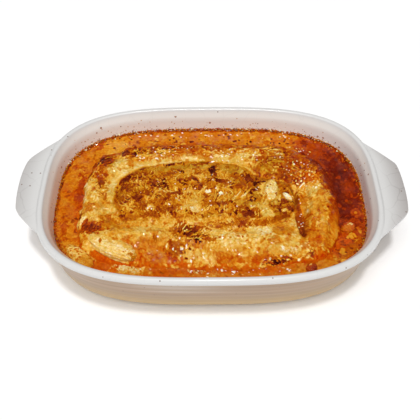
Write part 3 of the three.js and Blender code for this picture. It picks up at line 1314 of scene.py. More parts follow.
FOLDS = (
    # The crust's front right edge.
    Fold(((36, -40), (46, -39), (54, -36), (62, -32), (71, -27)), 1.2, -1.8, 1.6),
    # The smooth bump over the sauce pocket.
    Fold(((-76, -49), (-68, -53), (-62, -57), (-52, -58.5), (-44, -56), (-38, -51)), 1.3, -1, 2.6),
    # The left fold's lower edge and its upper end.
    Fold(((-122, -38), (-114, -38), (-110, -34), (-100, -31), (-90, -31)), 1.4, -1, 3),
    Fold(((-124, 15), (-119, 19), (-113, 17), (-107, 13)), 1.3, -0.8, -1.5),
    # The gully beside the top sheet and the curled strips along it.
    Fold(((80, 6), (80, -8), (79, -20), (79.5, -32), (81.5, -42), (83, -51)), 2, -3, 0),
    Fold(((84, -4), (88, -14), (91, -24), (92, -32)), 1.5, 1.6, 0),
    Fold(((92, 4), (94.5, -10), (94.5, -22), (98, -34)), 1, 0.9, 0),
    Fold(((90, 2), (91.5, -10), (92, -20)), 0.9, -1, 0),
    # Strands of sheet near the scorch in front.
    Fold(((-44, -36), (-34, -35), (-24, -38)), 1.1, 0.7, 0),
    Fold(((-26, -41), (-14, -42), (-3, -46)), 1.1, 0.8, 0),
    Fold(((-30, -52), (-34, -57), (-41, -63)), 1, 1.2, 0),
    # The ledge over the front right scorch.
    Fold(((52, -62), (66, -64.5), (78, -63), (92, -59)), 1.5, 1.4, 0),
    Fold(((50, -67), (66, -68.5), (82, -67)), 1.3, -1.3, 0),
    # Ruffles on the back ridge.
    Fold(((-62, 44), (-46, 47), (-28, 48), (-8, 49)), 1.3, 0.8, 0),
    Fold(((-84, 52), (-66, 55), (-48, 56), (-30, 58)), 1.4, 1, 0),
    Fold(((20, 54), (40, 54), (60, 51), (76, 47)), 1.3, 0.9, 0),
    Fold(((50, 36), (58, 40), (68, 38), (76, 32)), 1.2, 1, 0),
)


@dataclass(frozen=True)
class FoodForm:
    """The food's outlines and heights, as functions of the plan."""

    sauce_level: float = 39.0
    stack: Outline = Outline(
        x=-1.5,
        y=-6.2,
        half_length=120.5,
        half_width=73.8,
        power=3.8,
        lobes=((0.008, 3, 0.9), (0.007, 5, -0.6), (0.005, 8, 0.0)),
    )
    top: Outline = Outline(
        x=-5.0,
        y=-4.5,
        half_length=84.0,
        half_width=41.5,
        power=3.3,
        lobes=((0.011, 6, 0.4), (0.01, 11, 1.2), (0.006, 17, 0.3)),
        corner_cut=1.9,
        bulge=0.11,
    )
    crest: float = 13.0
    seat: float = 44.15
    top_edge: float = 49.0
    top_front_edge: float = 52.0
    top_crown: float = 57.0
    fan_x: float = -8.0
    fan_y: float = -95.0
    fan_reach: float = 95.0
    noise: Noise = Noise(11)

    def frontness(self, x: Field, y: Field) -> Field:
        """1 where a place faces the dish's front, 0 at its sides and back."""
        outward = -((y - self.stack.y) / self.stack.half_width) / np.maximum(self.stack.share(x, y), 0.2)
        return smooth(outward - 0.25)

    def crust(self, x: Field, y: Field) -> Field:
        """Where the net of browned cheese lies.

        Args:
            x, y: Places in plan.

        Returns:
            How far it covers each, 0 to 1.
        """
        ragged = 4.0 * self.noise.fractal(x, y, 9.0, 4, 0.6)
        inside = smooth((1.02 - self.top.share(x, y)) / 0.04)
        behind = smooth((y + 36.5 + ragged) / 5)
        return inside * behind * smooth((100 - x - 0.5 * np.abs(y + 45) + ragged) / 5)

    def streaks(self, x: Field, y: Field) -> Field:
        """Strands that fan out over the crust from the dish's front.

        Args:
            x, y: Places in plan.

        Returns:
            From -1 between strands to 1 on one.
        """
        dx, dy = x - self.fan_x, y - self.fan_y
        fan = np.arctan2(dx, dy) * self.fan_reach
        away = np.hypot(dx, dy)
        bend = 5.0 * self.noise.wave(x, y, 14.0) + 2.0 * self.noise.wave(x + 30, y, 6.0)
        return self.noise.fractal(fan + bend, 0.3 * away + 0.5 * bend, 2.6, 3, 0.75)

    def spots(self, x: Field, y: Field) -> Field:
        """Where the crust blistered and scorched, frayed along the strands.

        Args:
            x, y: Places in plan.

        Returns:
            How scorched each is, 0 to 1.
        """
        n = self.noise
        bent_x, bent_y = x + 2.5 * n.wave(x, y + 90, 5.0), y + 2.5 * n.wave(x - 90, y, 5.0)
        blisters = n.fractal(bent_x + 150, bent_y, 7.5, 3, 0.6) + 0.3 * self.streaks(x, y)
        return smooth((blisters + 0.25 * n.wave(x, y, 26.0) - 0.16) / 0.16)

    def curds(self, x: Field, y: Field) -> Field:
        """The curdled cheese sauce's round lumps and the sharp creases between them.

        Args:
            x, y: Places in plan.

        Returns:
            From -1 in a crease to 1 on a lump.
        """
        n = self.noise
        round_lumps = np.abs(n.wave(x - 20, y + 5, 7.0)) + 0.6 * np.abs(n.wave(x + 50, y, 3.6))
        return 0.7 * n.fractal(x + 9, y + 5, 5.0, 3, 0.5) + 1.3 * (round_lumps - 0.42)

    def relief(self, x: Field, y: Field) -> Field:
        """The food's fine relief over its form.

        Args:
            x, y: Places in plan.

        Returns:
            The height that it adds at each.
        """
        crust = self.crust(x, y)
        layers = raised(STACK_LAYERS, x, y, self.noise) * (1 - crust)
        layers += raised(CRUST_LAYERS, x, y, self.noise) * crust
        net = 0.6 * self.streaks(x, y) + 0.6 * self.noise.wave(x + 13, y, 9.0) + 0.4 * self.spots(x, y)
        folds = sum(f.height(x, y) for f in FOLDS + PLATEAUS)
        return (0.5 + 0.2 * crust) * self.curds(x, y) + layers + crust * net + folds

    def moat(self, x: Field, y: Field) -> Field:
        """The crease round the top sheet, except at its front.

        Args:
            x, y: Places in plan.

        Returns:
            How deep it is at each, 0 to 1.
        """
        behind = smooth((y + 0.35 * x + 12) / 30)
        broken = smooth(0.75 + 1.1 * self.noise.wave(x, y, 16.0)) * (0.25 + 0.75 * behind)
        return broken * bell(self.top.share(x, y) - 0.995, 0.016) * (1 - self.frontness(x, y)) ** 3

    def top_form(self, x: Field, y: Field) -> Field:
        """The top sheet's height without its fine relief.

        Args:
            x, y: Places in plan.

        Returns:
            The height at each.
        """
        share = self.top.share(x, y)
        edge = mix(self.top_edge, self.top_front_edge, self.frontness(x, y))
        rough = 0.8 * self.noise.wave(x, y, 15.0) + 0.5 * self.noise.wave(x + 40, y, 8.0) - 0.5
        return mix(self.top_crown, edge, share**2.6) + rough * smooth(4 * (1.1 - share))

    def uneven_share(self, x: Field, y: Field) -> Field:
        """The way out over the stack, with its edge's small bays and noses.

        Args:
            x, y: Places in plan.

        Returns:
            How far out each lies, 1 on the uneven edge.
        """
        n = self.noise
        bent_x = x + 3.2 * n.fractal(x, y + 31, 21.0, 3, 0.6)
        bent_y = y + 3.2 * n.fractal(x - 62, y, 21.0, 3, 0.6)
        return self.stack.share(bent_x, bent_y)

    def stack_form(self, x: Field, y: Field) -> Field:
        """The stack's height without its fine relief.

        Args:
            x, y: Places in plan.

        Returns:
            The height at each.
        """
        front = self.frontness(x, y)
        share = self.uneven_share(x, y)
        t = clamp01((1 - share) / mix(0.15, 0.36, front))
        dip = 0.22 * (1 - front) * bell(self.top.share(x, y) - 1.06, 0.12)
        steep, gentle = np.sqrt(np.maximum(0, 1 - (1 - t) ** 2)), 0.5 * smooth(t) + 0.5 * (1 - (1 - t) ** 2)
        rise = self.crest * (1 - dip) * mix(steep, gentle, 0.9 * front)
        lumps = 1.4 * np.abs(self.noise.wave(x - 30, y, 11.0)) - 0.5
        rough = 1.3 * self.noise.wave(x, y + 70, 19.0) + lumps + 0.6 * self.noise.wave(x, y - 90, 5.0)
        bumps = sum(s.height(x, y) for s in SWELLINGS)
        inside = self.sauce_level + rise + (bumps + rough) * smooth(2.5 * t)
        return inside - 40 * np.maximum(0, share - 1)

    def blend(self, x: Field, y: Field) -> Field:
        """How far the front slope has left the top sheet for the stack, 0 to 1."""
        return smooth((self.top.share(x, y) - 0.8) / 0.35)

    def top_height(self, x: Field, y: Field) -> Field:
        """The top sheet's surface.

        Args:
            x, y: Places in plan.

        Returns:
            The height at each.
        """
        front = self.frontness(x, y)
        form = mix(self.top_form(x, y), self.stack_form(x, y), self.blend(x, y) * front)
        edge = 1.3 * (1 - front) * smooth((self.top.share(x, y) - 0.95) / 0.05)
        return form + self.relief(x, y) - edge

    def stack_height(self, x: Field, y: Field) -> Field:
        """The stack's surface.

        Args:
            x, y: Places in plan.

        Returns:
            The height at each.
        """
        front = self.frontness(x, y)
        kept = 1 - front * (1 - self.blend(x, y))
        form = mix(self.top_form(x, y), self.stack_form(x, y), kept)
        under = 0.4 * smooth((1.0 - self.top.share(x, y)) / 0.015)
        form = form - 2.2 * self.moat(x, y) - under
        return form + self.relief(x, y) * smooth((form - self.sauce_level + 1.5) / 3)


# ---- Food: colours ----

CRUST_LAYERS: tuple[Layer, ...] = (
    # Strands of cheese all over.
    Shreds(-6, -6, 76, 34, 0, TAN, 110, 20, 0.8, 0.7, cover=0.85),
    Shreds(-10, -12, 70, 24, 0, PALE, 70, 18, 0.7, 0.7, cover=0.9),
    # Left part.
    Patch(-72, 0, 16, 34, 0, MEAT, 0.2, 0.6),
    Shreds(-66, 2, 20, 28, 0, TAN, 70, 15, 0.8, 0.6, cover=0.85),
    Shreds(-66, 2, 20, 28, 0, RUST, 50, 10, 0.9, 0.4),
    Patch(-80, 18, 9, 5, 50, MAROON, 0.85, 0.9, 0.8),
    Patch(-78, 7, 7, 5, 20, MAROON, 0.75, 0.9, 0.6),
    Patch(-82, -8, 4, 4, 20, MAROON, 0.6, 0.9, 0.5),
    Patch(-62, 14, 5, 3, 0, MAROON, 0.7, 0.9, 0.5),
    Patch(-58, -4, 4, 5, 30, MAROON, 0.75, 0.9, 0.5),
    Patch(-40, 20, 8, 3, 10, BROWN, 0.75, 0.9, 0.5),
    Patch(-18, 14, 5, 4, 0, MAROON, 0.7, 0.9, 0.5),
    Patch(-10, 22, 4, 3, 0, BROWN, 0.7, 0.9, 0.4),
    Patch(12, 8, 4, 4, 0, BROWN, 0.7, 0.9, 0.4),
    Patch(-38, -10, 4, 4, 0, MAROON, 0.7, 0.9, 0.5),
    Patch(-62, -18, 7, 4, 0, BROWN, 0.7, 0.9, 0.5),
    Patch(-36, -22, 8, 4, 0, BROWN, 0.7, 0.9, 0.5),
    # Painted shade: olive along the crease at the top sheet's left edge.
    Patch(-84, -4, 10, 3, 90, MOSS, 0.5, 0.7),
    Patch(-72, 1, 9, 5, 0, MOSS, 0.35, 0.9),
    Patch(-65, 27, 6, 3.5, -20, MAROON, 0.6, 0.8, 0.4),
    Patch(-68, -8, 4, 5, 30, MAROON, 0.75, 0.8, 0.5),
    Patch(-72, -33, 13, 5, -8, RUST, 0.6, 0.7),
    Patch(-55, -20, 3.2, 3, 0, CREAM, 0.55, 0.4),
    # Back.
    # Painted shade: olive along the top sheet's back edge, where it curves down.
    Patch(-45, 30, 24, 5, 3, OLIVE, 0.55, 0.6),
    Patch(-18, 33, 18, 5, 0, OLIVE, 0.55, 0.6),
    Patch(20, 30, 16, 6, -15, OLIVE, 0.55, 0.6),
    Patch(-12, 36, 7, 2.5, 8, BROWN, 0.7, 0.6),
    # Middle.
    Patch(-52, 10, 3.5, 4, 0, MAROON, 0.8, 0.8, 0.5),
    Patch(-46, 4, 7, 3.5, -10, CHAR, 0.75, 0.9, 0.7),
    Patch(-29, 10, 3, 2.5, 0, MAROON, 0.7, 0.7),
    Patch(-28, -6, 4, 4, 0, MAROON, 0.85, 0.7, 0.5),
    Patch(-47, -15, 7, 5, 40, RUST, 0.6, 0.8),
    Patch(-50, -28, 12, 5, 8, BROWN, 0.75, 0.7, 0.7),
    Patch(3, 25, 4, 7, -15, CHAR, 0.85, 0.7, 0.5),
    Patch(-15, -12, 6, 8, 0, YELLOW, 0.6, 0.6),
    Patch(-15, -22, 8, 7, 20, YELLOW, 0.75, 0.5),
    Patch(-14, -25, 5, 3.5, 20, CREAM, 0.8, 0.4),
    Patch(-2, -4, 2.8, 2.2, 20, WHITE, 0.95, 0.2),
    Patch(10, -6, 2, 2, 0, WHITE, 0.9, 0.2),
    Patch(13, -18, 3.5, 3, 0, MAROON, 0.6, 0.7),
    Patch(2, -18, 5, 4, 0, BROWN, 0.65, 0.8, 0.4),
    Patch(0, -33, 9, 3, 0, MOSS, 0.6, 0.6),
    Patch(14, -36, 12, 2.5, 0, BROWN, 0.6, 0.7),
    # Right part.
    Patch(34, 12, 9, 8, 40, RUST, 0.75, 0.8, 0.4),
    Patch(37, 15, 5, 7, 30, MAROON, 0.85, 0.8, 0.6),
    Patch(44, 4, 4, 9, -5, CHAR, 0.85, 0.8, 0.6),
    Patch(27, 3, 6, 5, 0, RUST, 0.7, 0.8),
    Patch(24, 17, 7, 4, 20, RUST, 0.7, 0.7, 0.4),
    Patch(39, -13, 3.6, 3.2, 0, CHAR, 0.85, 0.5, 0.4),
    Patch(39, -13, 1.4, 1.2, 0, AMBER, 0.9, 0.2),
    Patch(38, -18, 11, 3, 0, OLIVE, 0.6, 0.5),
    Patch(29, -23, 4, 3, 0, BROWN, 0.7, 0.8),
    Patch(37, -31, 6, 4, -20, MAROON, 0.8, 0.8, 0.6),
    Patch(42, -25, 3, 3, 0, BROWN, 0.7, 0.7),
    Patch(47, -20, 4, 4, 0, YELLOW, 0.6, 0.5),
    Patch(52, -27, 6, 7.5, 10, YELLOW, 0.85, 0.4),
    Patch(55, -28, 3.5, 4.5, 0, PALE, 0.8, 0.3),
    Patch(57, -2, 12, 14.5, 0, OLIVE, 0.7, 0.5),
    Patch(56.5, -1, 10, 13, 0, PALE, 0.9, 0.3),
    Patch(66.5, 0, 2.6, 13, 5, MEAT, 0.7, 0.5),
    Patch(71, 7, 7, 6, 0, RUST, 0.5, 0.7),
    Patch(69, -12, 6, 2.6, 0, MAROON, 0.85, 0.5, 0.3),
    Patch(64, -21, 2.5, 4.5, 0, MAROON, 0.85, 0.6, 0.5),
    Patch(73, -19, 4, 3, 0, MAROON, 0.8, 0.7, 0.5),
    Patch(68, -22, 3, 2.2, 0, CREAM, 0.7, 0.5),
    Patch(69, -28, 6, 3, 20, BROWN, 0.7, 0.7, 0.4),
    Patch(62, -32, 9, 2, 28, BROWN, 0.8, 0.5),
    Patch(43, -38.5, 3.5, 2.5, 0, CHAR, 0.8, 0.5),
    # Painted highlights: white flecks standing for glints.
    Flecks(-6, -4, 74, 32, 0, WHITE, 1.6, 0.02, 0.2),
)

STACK_LAYERS: tuple[Layer, ...] = (
    # Back ridge.
    Patch(-5, 62, 92, 8, 0, RUST, 0.75, 0.5, 0.3),
    Patch(-15, 53, 75, 5, 0, AMBER, 0.7, 0.7, 0.3),
    Patch(-58, 47, 20, 4.5, 8, ROSE, 0.65, 0.8, 0.4),
    Patch(20, 57, 30, 4, 0, BRICK, 0.5, 0.9, 0.4),
    Patch(-68, 54, 19, 5.5, 3, MAROON, 0.85, 0.7, 0.9),
    Patch(-70, 52, 9, 3.4, 4, CHAR, 0.85, 0.7, 0.7),
    Patch(-46, 50, 7, 2.4, 0, CHAR, 0.65, 0.8, 0.5),
    Patch(14, 54, 3, 3, 0, BROWN, 0.7, 0.6),
    Patch(76, 50, 8, 3, -5, CHAR, 0.85, 0.6, 0.6),
    Patch(85, 56, 14, 6, -20, BRICK, 0.8, 0.6, 0.4),
    # Pale band behind the crust.
    Patch(-55, 41, 24, 3, 12, YELLOW, 0.8, 0.7),
    Patch(-22, 44, 26, 5, 0, YELLOW, 0.85, 0.6),
    Patch(-18, 45, 20, 2.4, 0, PALE, 0.7, 0.8),
    Patch(-12, 50, 26, 2.2, 0, AMBER, 0.6, 0.9, 0.3),
    Patch(-50, 46, 18, 2.4, 10, ORANGE, 0.6, 0.9, 0.3),
    Patch(20, 45, 26, 6, -8, YELLOW, 0.85, 0.6),
    Patch(30, 42, 12, 3, -25, PALE, 0.65, 0.7),
    Patch(8, 50, 18, 3, 0, AMBER, 0.6, 0.9, 0.3),
    Patch(50, 46, 16, 4, -5, PALE, 0.6, 0.7),
    Patch(-87, 32, 12, 10, 40, YELLOW, 0.9, 0.4),
    Patch(-86, 31, 8, 5, 40, PALE, 0.85, 0.4),
    # Painted shade in the crease at the top sheet's back left corner.
    Patch(-94, 38, 7, 4, 40, MOSS, 0.5, 0.7),
    Patch(-92.5, 0, 4.5, 24, 0, YELLOW, 0.85, 0.4),
    Patch(-8, 55, 86, 4.5, 0, AMBER, 0.75, 0.6),
    Patch(-2, 58, 88, 4, 0, RUST, 0.85, 0.7, 0.3),
    Shreds(-30, 56, 60, 5, 1, BRICK, 60, 20, 1, 0.3, (-400, 60), 8, 0.8),
    Shreds(-56, 53, 24, 5, 4, CHAR, 30, 15, 0.8, 0.4, (-400, 40), 10, 0.9),
    Shreds(20, 57, 60, 4, -2, MAROON, 40, 18, 0.8, 0.3, (-400, 60), 8, 0.8),
    Shreds(-10, 55, 84, 5, 0, GOLD, 60, 14, 0.6, 0.4, (-400, 60), 12),
    Patch(-68, 51, 21, 6, 6, RUST, 0.8, 0.7, 0.4),
    Patch(-72, 50, 15, 4.5, 8, MAROON, 0.85, 0.8, 0.8),
    Patch(-50, 53, 12, 3, 4, MAROON, 0.75, 0.9, 0.6),
    Shreds(-62, 51, 20, 5, 6, TAN, 22, 12, 0.6, 0.5, (-400, 30), 12),
    # Bay of sauce behind the left corner.
    Patch(-97, 56, 9, 14, 0, AMBER, 0.95, 0.3),
    # Left folds.
    Patch(-113, 36, 8, 20, -20, RUST, 0.8, 0.6, 0.5),
    Patch(-110, 34, 20, 8, 42, BRICK, 0.8, 0.6, 0.4),
    Patch(-107, 42, 8, 7, 30, MAROON, 0.8, 0.8, 0.8),
    Shreds(-108, 34, 18, 9, 42, MAROON, 40, 15, 0.9, 0.5, (-180, -40), 14, 0.85),
    Shreds(-106, 32, 18, 9, 42, TAN, 24, 12, 0.6, 0.5, (-180, -40), 16),
    Patch(-105, 40, 3.5, 4, 0, CHAR, 0.8, 0.6),
    Patch(-118, 26, 5, 12, 0, MAROON, 0.65, 0.8, 0.5),
    Patch(-110, 28, 4, 8, 20, VERMILION, 0.4, 0.7),
    Patch(-110, -8, 10, 26, 0, TAN, 0.9, 0.4),
    Patch(-112, -12, 5, 20, 0, AMBER, 0.45, 0.9),
    Patch(-119, -2, 3, 26, 0, PALE, 0.8, 0.5),
    Patch(-100, -10, 9, 14, 0, GOLD, 0.5, 0.6),
    Patch(-115, -32, 4, 4, 0, CREAM, 0.8, 0.4),
    Patch(-103, 14, 4.5, 16, 6, RUST, 0.7, 0.9, 0.5),
    Patch(-103, 12, 3.5, 5, 0, MAROON, 0.75, 0.8, 0.4),
    Patch(-98, -5, 2.4, 5, 10, BROWN, 0.65, 0.6),
    Patch(-104, -17, 4, 4, 0, ORANGE, 0.5, 0.7),
    Patch(-119.5, -25, 2.6, 5, 10, MAROON),
    Patch(-90, -36, 9, 8, 0, MEAT, 0.75, 0.6),
    # Hollow between the left folds, painted dark red-brown as painted shade in the fold.
    Patch(-107, -40, 14, 6, -12, BRICK, 0.85, 0.6, 0.4),
    Patch(-108, -39, 8, 4, -12, MAROON, 0.85, 0.8, 0.7),
    # Front left.
    Patch(-78, -40, 18, 5, -4, AMBER, 0.6, 0.7),
    Patch(-75, -47, 14, 4, 0, GOLD, 0.6, 0.6),
    Patch(-57, -48, 15, 8, -4, TAN, 0.85, 0.4),
    Patch(-58, -47, 9, 4, -4, PALE, 0.45, 0.5),
    Patch(-50, -66, 30, 12, -4, TANGERINE, 1, 0.3),
    Patch(-92, -72, 18, 7, -22, VERMILION, 1, 0.3),
    Patch(-44, -72, 22, 4, 0, ORANGE, 0.8, 0.7),
    Shreds(-50, -62, 24, 8, -6, GOLD, 30, 13, 0.8, 0.3, (-60, -200), 35, 0.5),
    Shreds(-48, -67, 24, 8, -6, BRICK, 30, 11, 0.7, 0.2, (-200, -60), 30, 0.6),
    Patch(-48, -55.5, 3, 1.8, 0, MAROON, 0.6, 0.8),
    Patch(-42, -58, 5, 4, 0, GOLD, 0.6, 0.6),
    Patch(-66, -62, 5, 2.6, -20, RUST, 0.6, 0.8),
    Patch(-29, -65, 7, 5.5, 10, MEAT, 0.9, 0.5, 0.5),
    Patch(-26, -66, 3, 3, 0, MAROON, 0.6, 0.7, 0.4),
    Patch(-37, -61, 5, 1.4, 50, CREAM, 0.85, 0.4),
    # Front slope.
    Patch(28, -54, 38, 14, 0, TAN, 0.8, 0.4),
    Patch(20, -56, 18, 7, 0, PALE, 0.75, 0.6),
    Patch(48, -49, 13, 7, -6, PALE, 0.75, 0.6),
    Patch(50, -46, 7, 3, -8, CREAM, 0.6, 0.6),
    Patch(22, -70, 44, 6, 2, GOLD),
    Patch(20, -74, 40, 2.6, 2, ORANGE, 0.6, 0.8, 0.3),
    Patch(12, -44, 9, 2, -10, RUST, 0.6, 0.8),
    Patch(2, -40, 12, 3, -4, RUST, 0.75, 0.7, 0.5),
    Patch(24, -40, 14, 3.4, 4, BROWN, 0.7, 0.8, 0.6),
    Patch(44, -38, 12, 3, 8, RUST, 0.75, 0.7, 0.5),
    Patch(60, -34, 8, 3, 20, BROWN, 0.6, 0.7, 0.4),
    Patch(66, -48, 12, 9, -50, AMBER, 0.75, 0.6),
    Patch(64, -46, 6, 3, -50, RUST, 0.5, 0.8),
    Patch(56, -57, 1.8, 3, 0, BROWN, 0.8, 0.4),
    Patch(8, -55, 1.5, 1.3, 0, RUST, 0.8, 0.3),
    Patch(17.5, -55.5, 1.3, 1.2, 0, BROWN, 0.85, 0.3),
    Patch(24.5, -54.5, 1.6, 1.3, 0, BROWN, 0.85, 0.3),
    Patch(28, -55, 1.2, 1.2, 0, RUST, 0.85, 0.3),
    Patch(72, -60, 24, 6, 2, YELLOW),
    Patch(68, -64.5, 7, 1.6, 0, CREAM),
    Patch(84, -60, 8, 2, 30, PALE, 0.6, 0.8),
    Patch(66, -73, 17, 3.6, 3, RUST, 0.85, 0.8, 0.8),
    Patch(58, -74.5, 8, 2, 8, CHAR, 0.9, 0.8, 0.9),
    Patch(66, -70.5, 5, 2, 0, MAROON, 0.8, 0.8, 0.6),
    Patch(89, -68, 3.5, 3, 0, MAROON, 0.8, 0.6, 0.5),
    Patch(98, -66, 10, 4, 25, VERMILION, 0.8, 0.6),
    # Painted highlights: cream flecks standing for glints on the scorch.
    Flecks(62, -73, 18, 4, 4, CREAM, 2.3, 0.15, 0.3),
    Flecks(28, -56, 36, 12, 0, AMBER, 3, 0.12),
    # Scorch in front and its strands.
    Patch(-20, -40, 22, 5, 4, TAN, 0.7, 0.6, 0.2),
    Patch(-28, -45, 7, 8, 50, RUST, 0.8, 0.7, 0.5),
    Patch(-17, -50, 15, 8, -24, RUST, 0.95, 0.6, 0.7),
    Patch(-15, -50, 12, 6, -24, MAROON, 0.95, 0.6, 1),
    Patch(-31, -62, 9, 6, 20, RUST, 0.85, 0.6, 0.5),
    Patch(-10, -57, 4, 3.5, 0, CHAR, 0.9, 0.5, 0.6),
    Patch(-21, -50, 4, 2.5, 20, CHAR, 0.8, 0.6, 0.6),
    Patch(0, -57, 4, 3, 0, BROWN, 0.6, 0.8, 0.4),
    Patch(-5, -44, 5, 2, -10, MAROON, 0.65, 0.7),
    Patch(-14, -71, 14, 5, -6, YELLOW, 0.6, 0.9, 0.5),
    Patch(-2, -74, 8, 3, -6, PALE, 0.7, 0.9, 0.3),
    Patch(-18, -67, 5, 4, 0, PALE, 0.6, 0.9, 0.5),
    Shreds(-15, -51, 14, 7, -20, MAROON, 70, 9, 0.9, 0.6, (-60, -60), 40, 0.85),
    Shreds(-16, -49, 20, 10, -15, CREAM, 40, 13, 0.6, 0.7, (-60, -60), 25, 0.8),
    Flecks(-18, -69, 14, 6, -10, WHITE, 2.4, 0.24),
    Flecks(-16, -68, 13, 5, -10, MAROON, 3, 0.2),
    # Right side.
    Patch(104, -20, 16, 30, 0, GOLD, 0.9, 0.4),
    Patch(101, -5, 9, 8, 0, YELLOW, 0.7, 0.6),
    Patch(114, -9, 3, 6, 10, PALE, 0.6, 0.6),
    Patch(88, -22, 5, 15, 6, GOLD),
    Patch(86, -8, 5, 9, 6, RUST, 0.6, 0.7, 0.3),
    # A painted highlight: a thin cream streak on the gully's ridge.
    Patch(89.5, -23, 0.9, 3, 10, CREAM, 0.6, 0.5),
    Patch(98, -51, 18, 12, 10, AMBER, 0.9, 0.5, 0.3),
    Patch(92, -58, 14, 4, 20, VERMILION, 0.5, 0.9),
    Patch(108, -56, 8, 5, 30, RUST, 0.5, 0.8, 0.3),
    Patch(103, -42, 5, 6, 0, RUST, 0.6, 0.5),
    Patch(113, -46, 6, 12, -20, GOLD, 0.8, 0.5),
    Patch(99, -36, 6, 2, -20, PALE, 0.6, 0.7),
    # The gully beside the top sheet: brown, and painted darkest in its deep lower part, in part as painted
    # shade.
    Patch(83, -34, 5, 19, 8, RUST, 1, 0.2),
    Patch(82, -32, 3.6, 18, 4, BROWN, 0.85, 0.4),
    Patch(86.5, -26, 2.2, 14, 6, AMBER, 0.6, 0.4),
    Patch(82.5, -46, 2.6, 6, 8, MAROON, 0.8, 0.5),
    Patch(80.5, -10, 2.4, 12, 0, BROWN, 0.85, 0.6, 0.3),
    Patch(104, -22, 11, 26, 0, GOLD, 0.75, 0.5),
    Patch(99, -2, 8, 6, 20, YELLOW, 0.6, 0.6),
    Patch(68, 28, 24, 19, -20, RUST, 0.95, 0.5, 0.5),
    Patch(56, 31, 9, 8, 0, OLIVE, 0.6, 0.7, 0.2),
    Patch(65, 40, 11, 3, -12, RUST, 0.7, 0.8, 0.5),
    Patch(86, 24, 8, 14, 20, ORANGE, 0.65, 0.8, 0.5),
    Patch(82, 14, 4.5, 4.5, 0, WINE, 0.9, 0.5, 0.4),
    Patch(97, 12, 9, 11, 10, ROSE, 0.75, 0.8, 0.7),
    Patch(100, 3, 8, 5, 10, YELLOW, 0.6, 0.7, 0.3),
    Patch(110, 16, 6, 20, -8, RUST, 0.8, 0.6, 0.3),
    Patch(109, 20, 3, 8, -20, BROWN, 0.7, 0.7),
    Patch(102, 36, 15, 11, -40, RUST, 0.9, 0.7, 0.6),
    Patch(104, 37, 12, 6, -40, MAROON, 0.8, 0.7, 0.6),
    Patch(113, 14, 4, 24, 8, BROWN, 0.8, 0.6, 0.4),
    Patch(84, 42, 16, 8, -30, RUST, 0.85, 0.7, 0.4),
    Patch(74, 34, 26, 12, -25, BRICK, 0.55, 0.7, 0.3),
    Patch(88, 44, 9, 4, -30, BRICK, 0.7, 0.8, 0.4),
    Flecks(94, 14, 14, 13, 0, CREAM, 2.2, 0.3, 0.4),
    Flecks(86, 24, 10, 14, 20, VERMILION, 3.4, 0.22),
    Flecks(70, 30, 24, 14, -20, TAN, 3.2, 0.2),
    # Shreds over all of it.
    Shreds(28, -54, 42, 13, 0, CREAM, 110, 14, 0.6, 0.3, cover=0.45),
    Shreds(28, -62, 44, 10, 0, GOLD, 90, 12, 0.9, 0.3, cover=0.6),
    Shreds(64, 34, 22, 14, -20, OLIVE, 70, 18, 0.9, 0.6, (-20, 60), 25),
    Shreds(68, 30, 24, 14, -20, MAROON, 60, 14, 0.8, 0.3, (-20, 60), 30),
    Shreds(-58, 49, 26, 6, 4, PALE, 40, 12, 0.6, 0.5, (-140, 40), 18),
    Shreds(30, 51, 50, 6, -2, CREAM, 46, 14, 0.6, 0.4, (-140, 60), 18),
    Shreds(-106, 0, 12, 34, 0, CREAM, 50, 12, 0.8, 0.35, (-100, -160), 40, 0.5),
    Shreds(101, -26, 12, 26, 0, PALE, 30, 12, 0.8, 0.3, (90, -160), 35, 0.5),
    # Painted highlights: small raised white flecks standing for glints on the fat.
    Flecks(-40, 57, 26, 4, 0, WHITE, 1.5, 0.12, 0.2),
    Flecks(-52, 47, 30, 5, 8, WHITE, 1.5, 0.1, 0.2),
    Flecks(30, 46, 46, 7, -4, WHITE, 1.5, 0.05, 0.2),
    Flecks(86, 26, 16, 14, 0, WHITE, 1.5, 0.1, 0.2),
    Flecks(-30, -62, 34, 10, 0, WHITE, 1.5, 0.04, 0.2),
    Flecks(50, -66, 40, 6, 0, WHITE, 1.5, 0.03, 0.2),
    Flecks(80, -22, 6, 22, 0, WHITE, 1.5, 0.06, 0.2),
    # A round slice under the cheese.
    Patch(105, -23, 8, 8.4, 0, RUST, 0.8, 0.1),
    Patch(105, -23, 6.6, 7, 0, GOLD, 0.95, 0.15),
    Patch(105, -23, 4.8, 5, 0, AMBER, 0.8, 0.3),
    Patch(105, -23, 2.4, 2.4, 0, TAN, 0.6, 0.3),
    Patch(102.4, -21.4, 1.1, 1.1, 0, RUST, 0.95, 0.1),
    Patch(107.4, -21.4, 1.1, 1.1, 0, RUST, 0.95, 0.1),
    Patch(105, -26.4, 1.1, 1.1, 0, RUST, 0.95, 0.1),
)


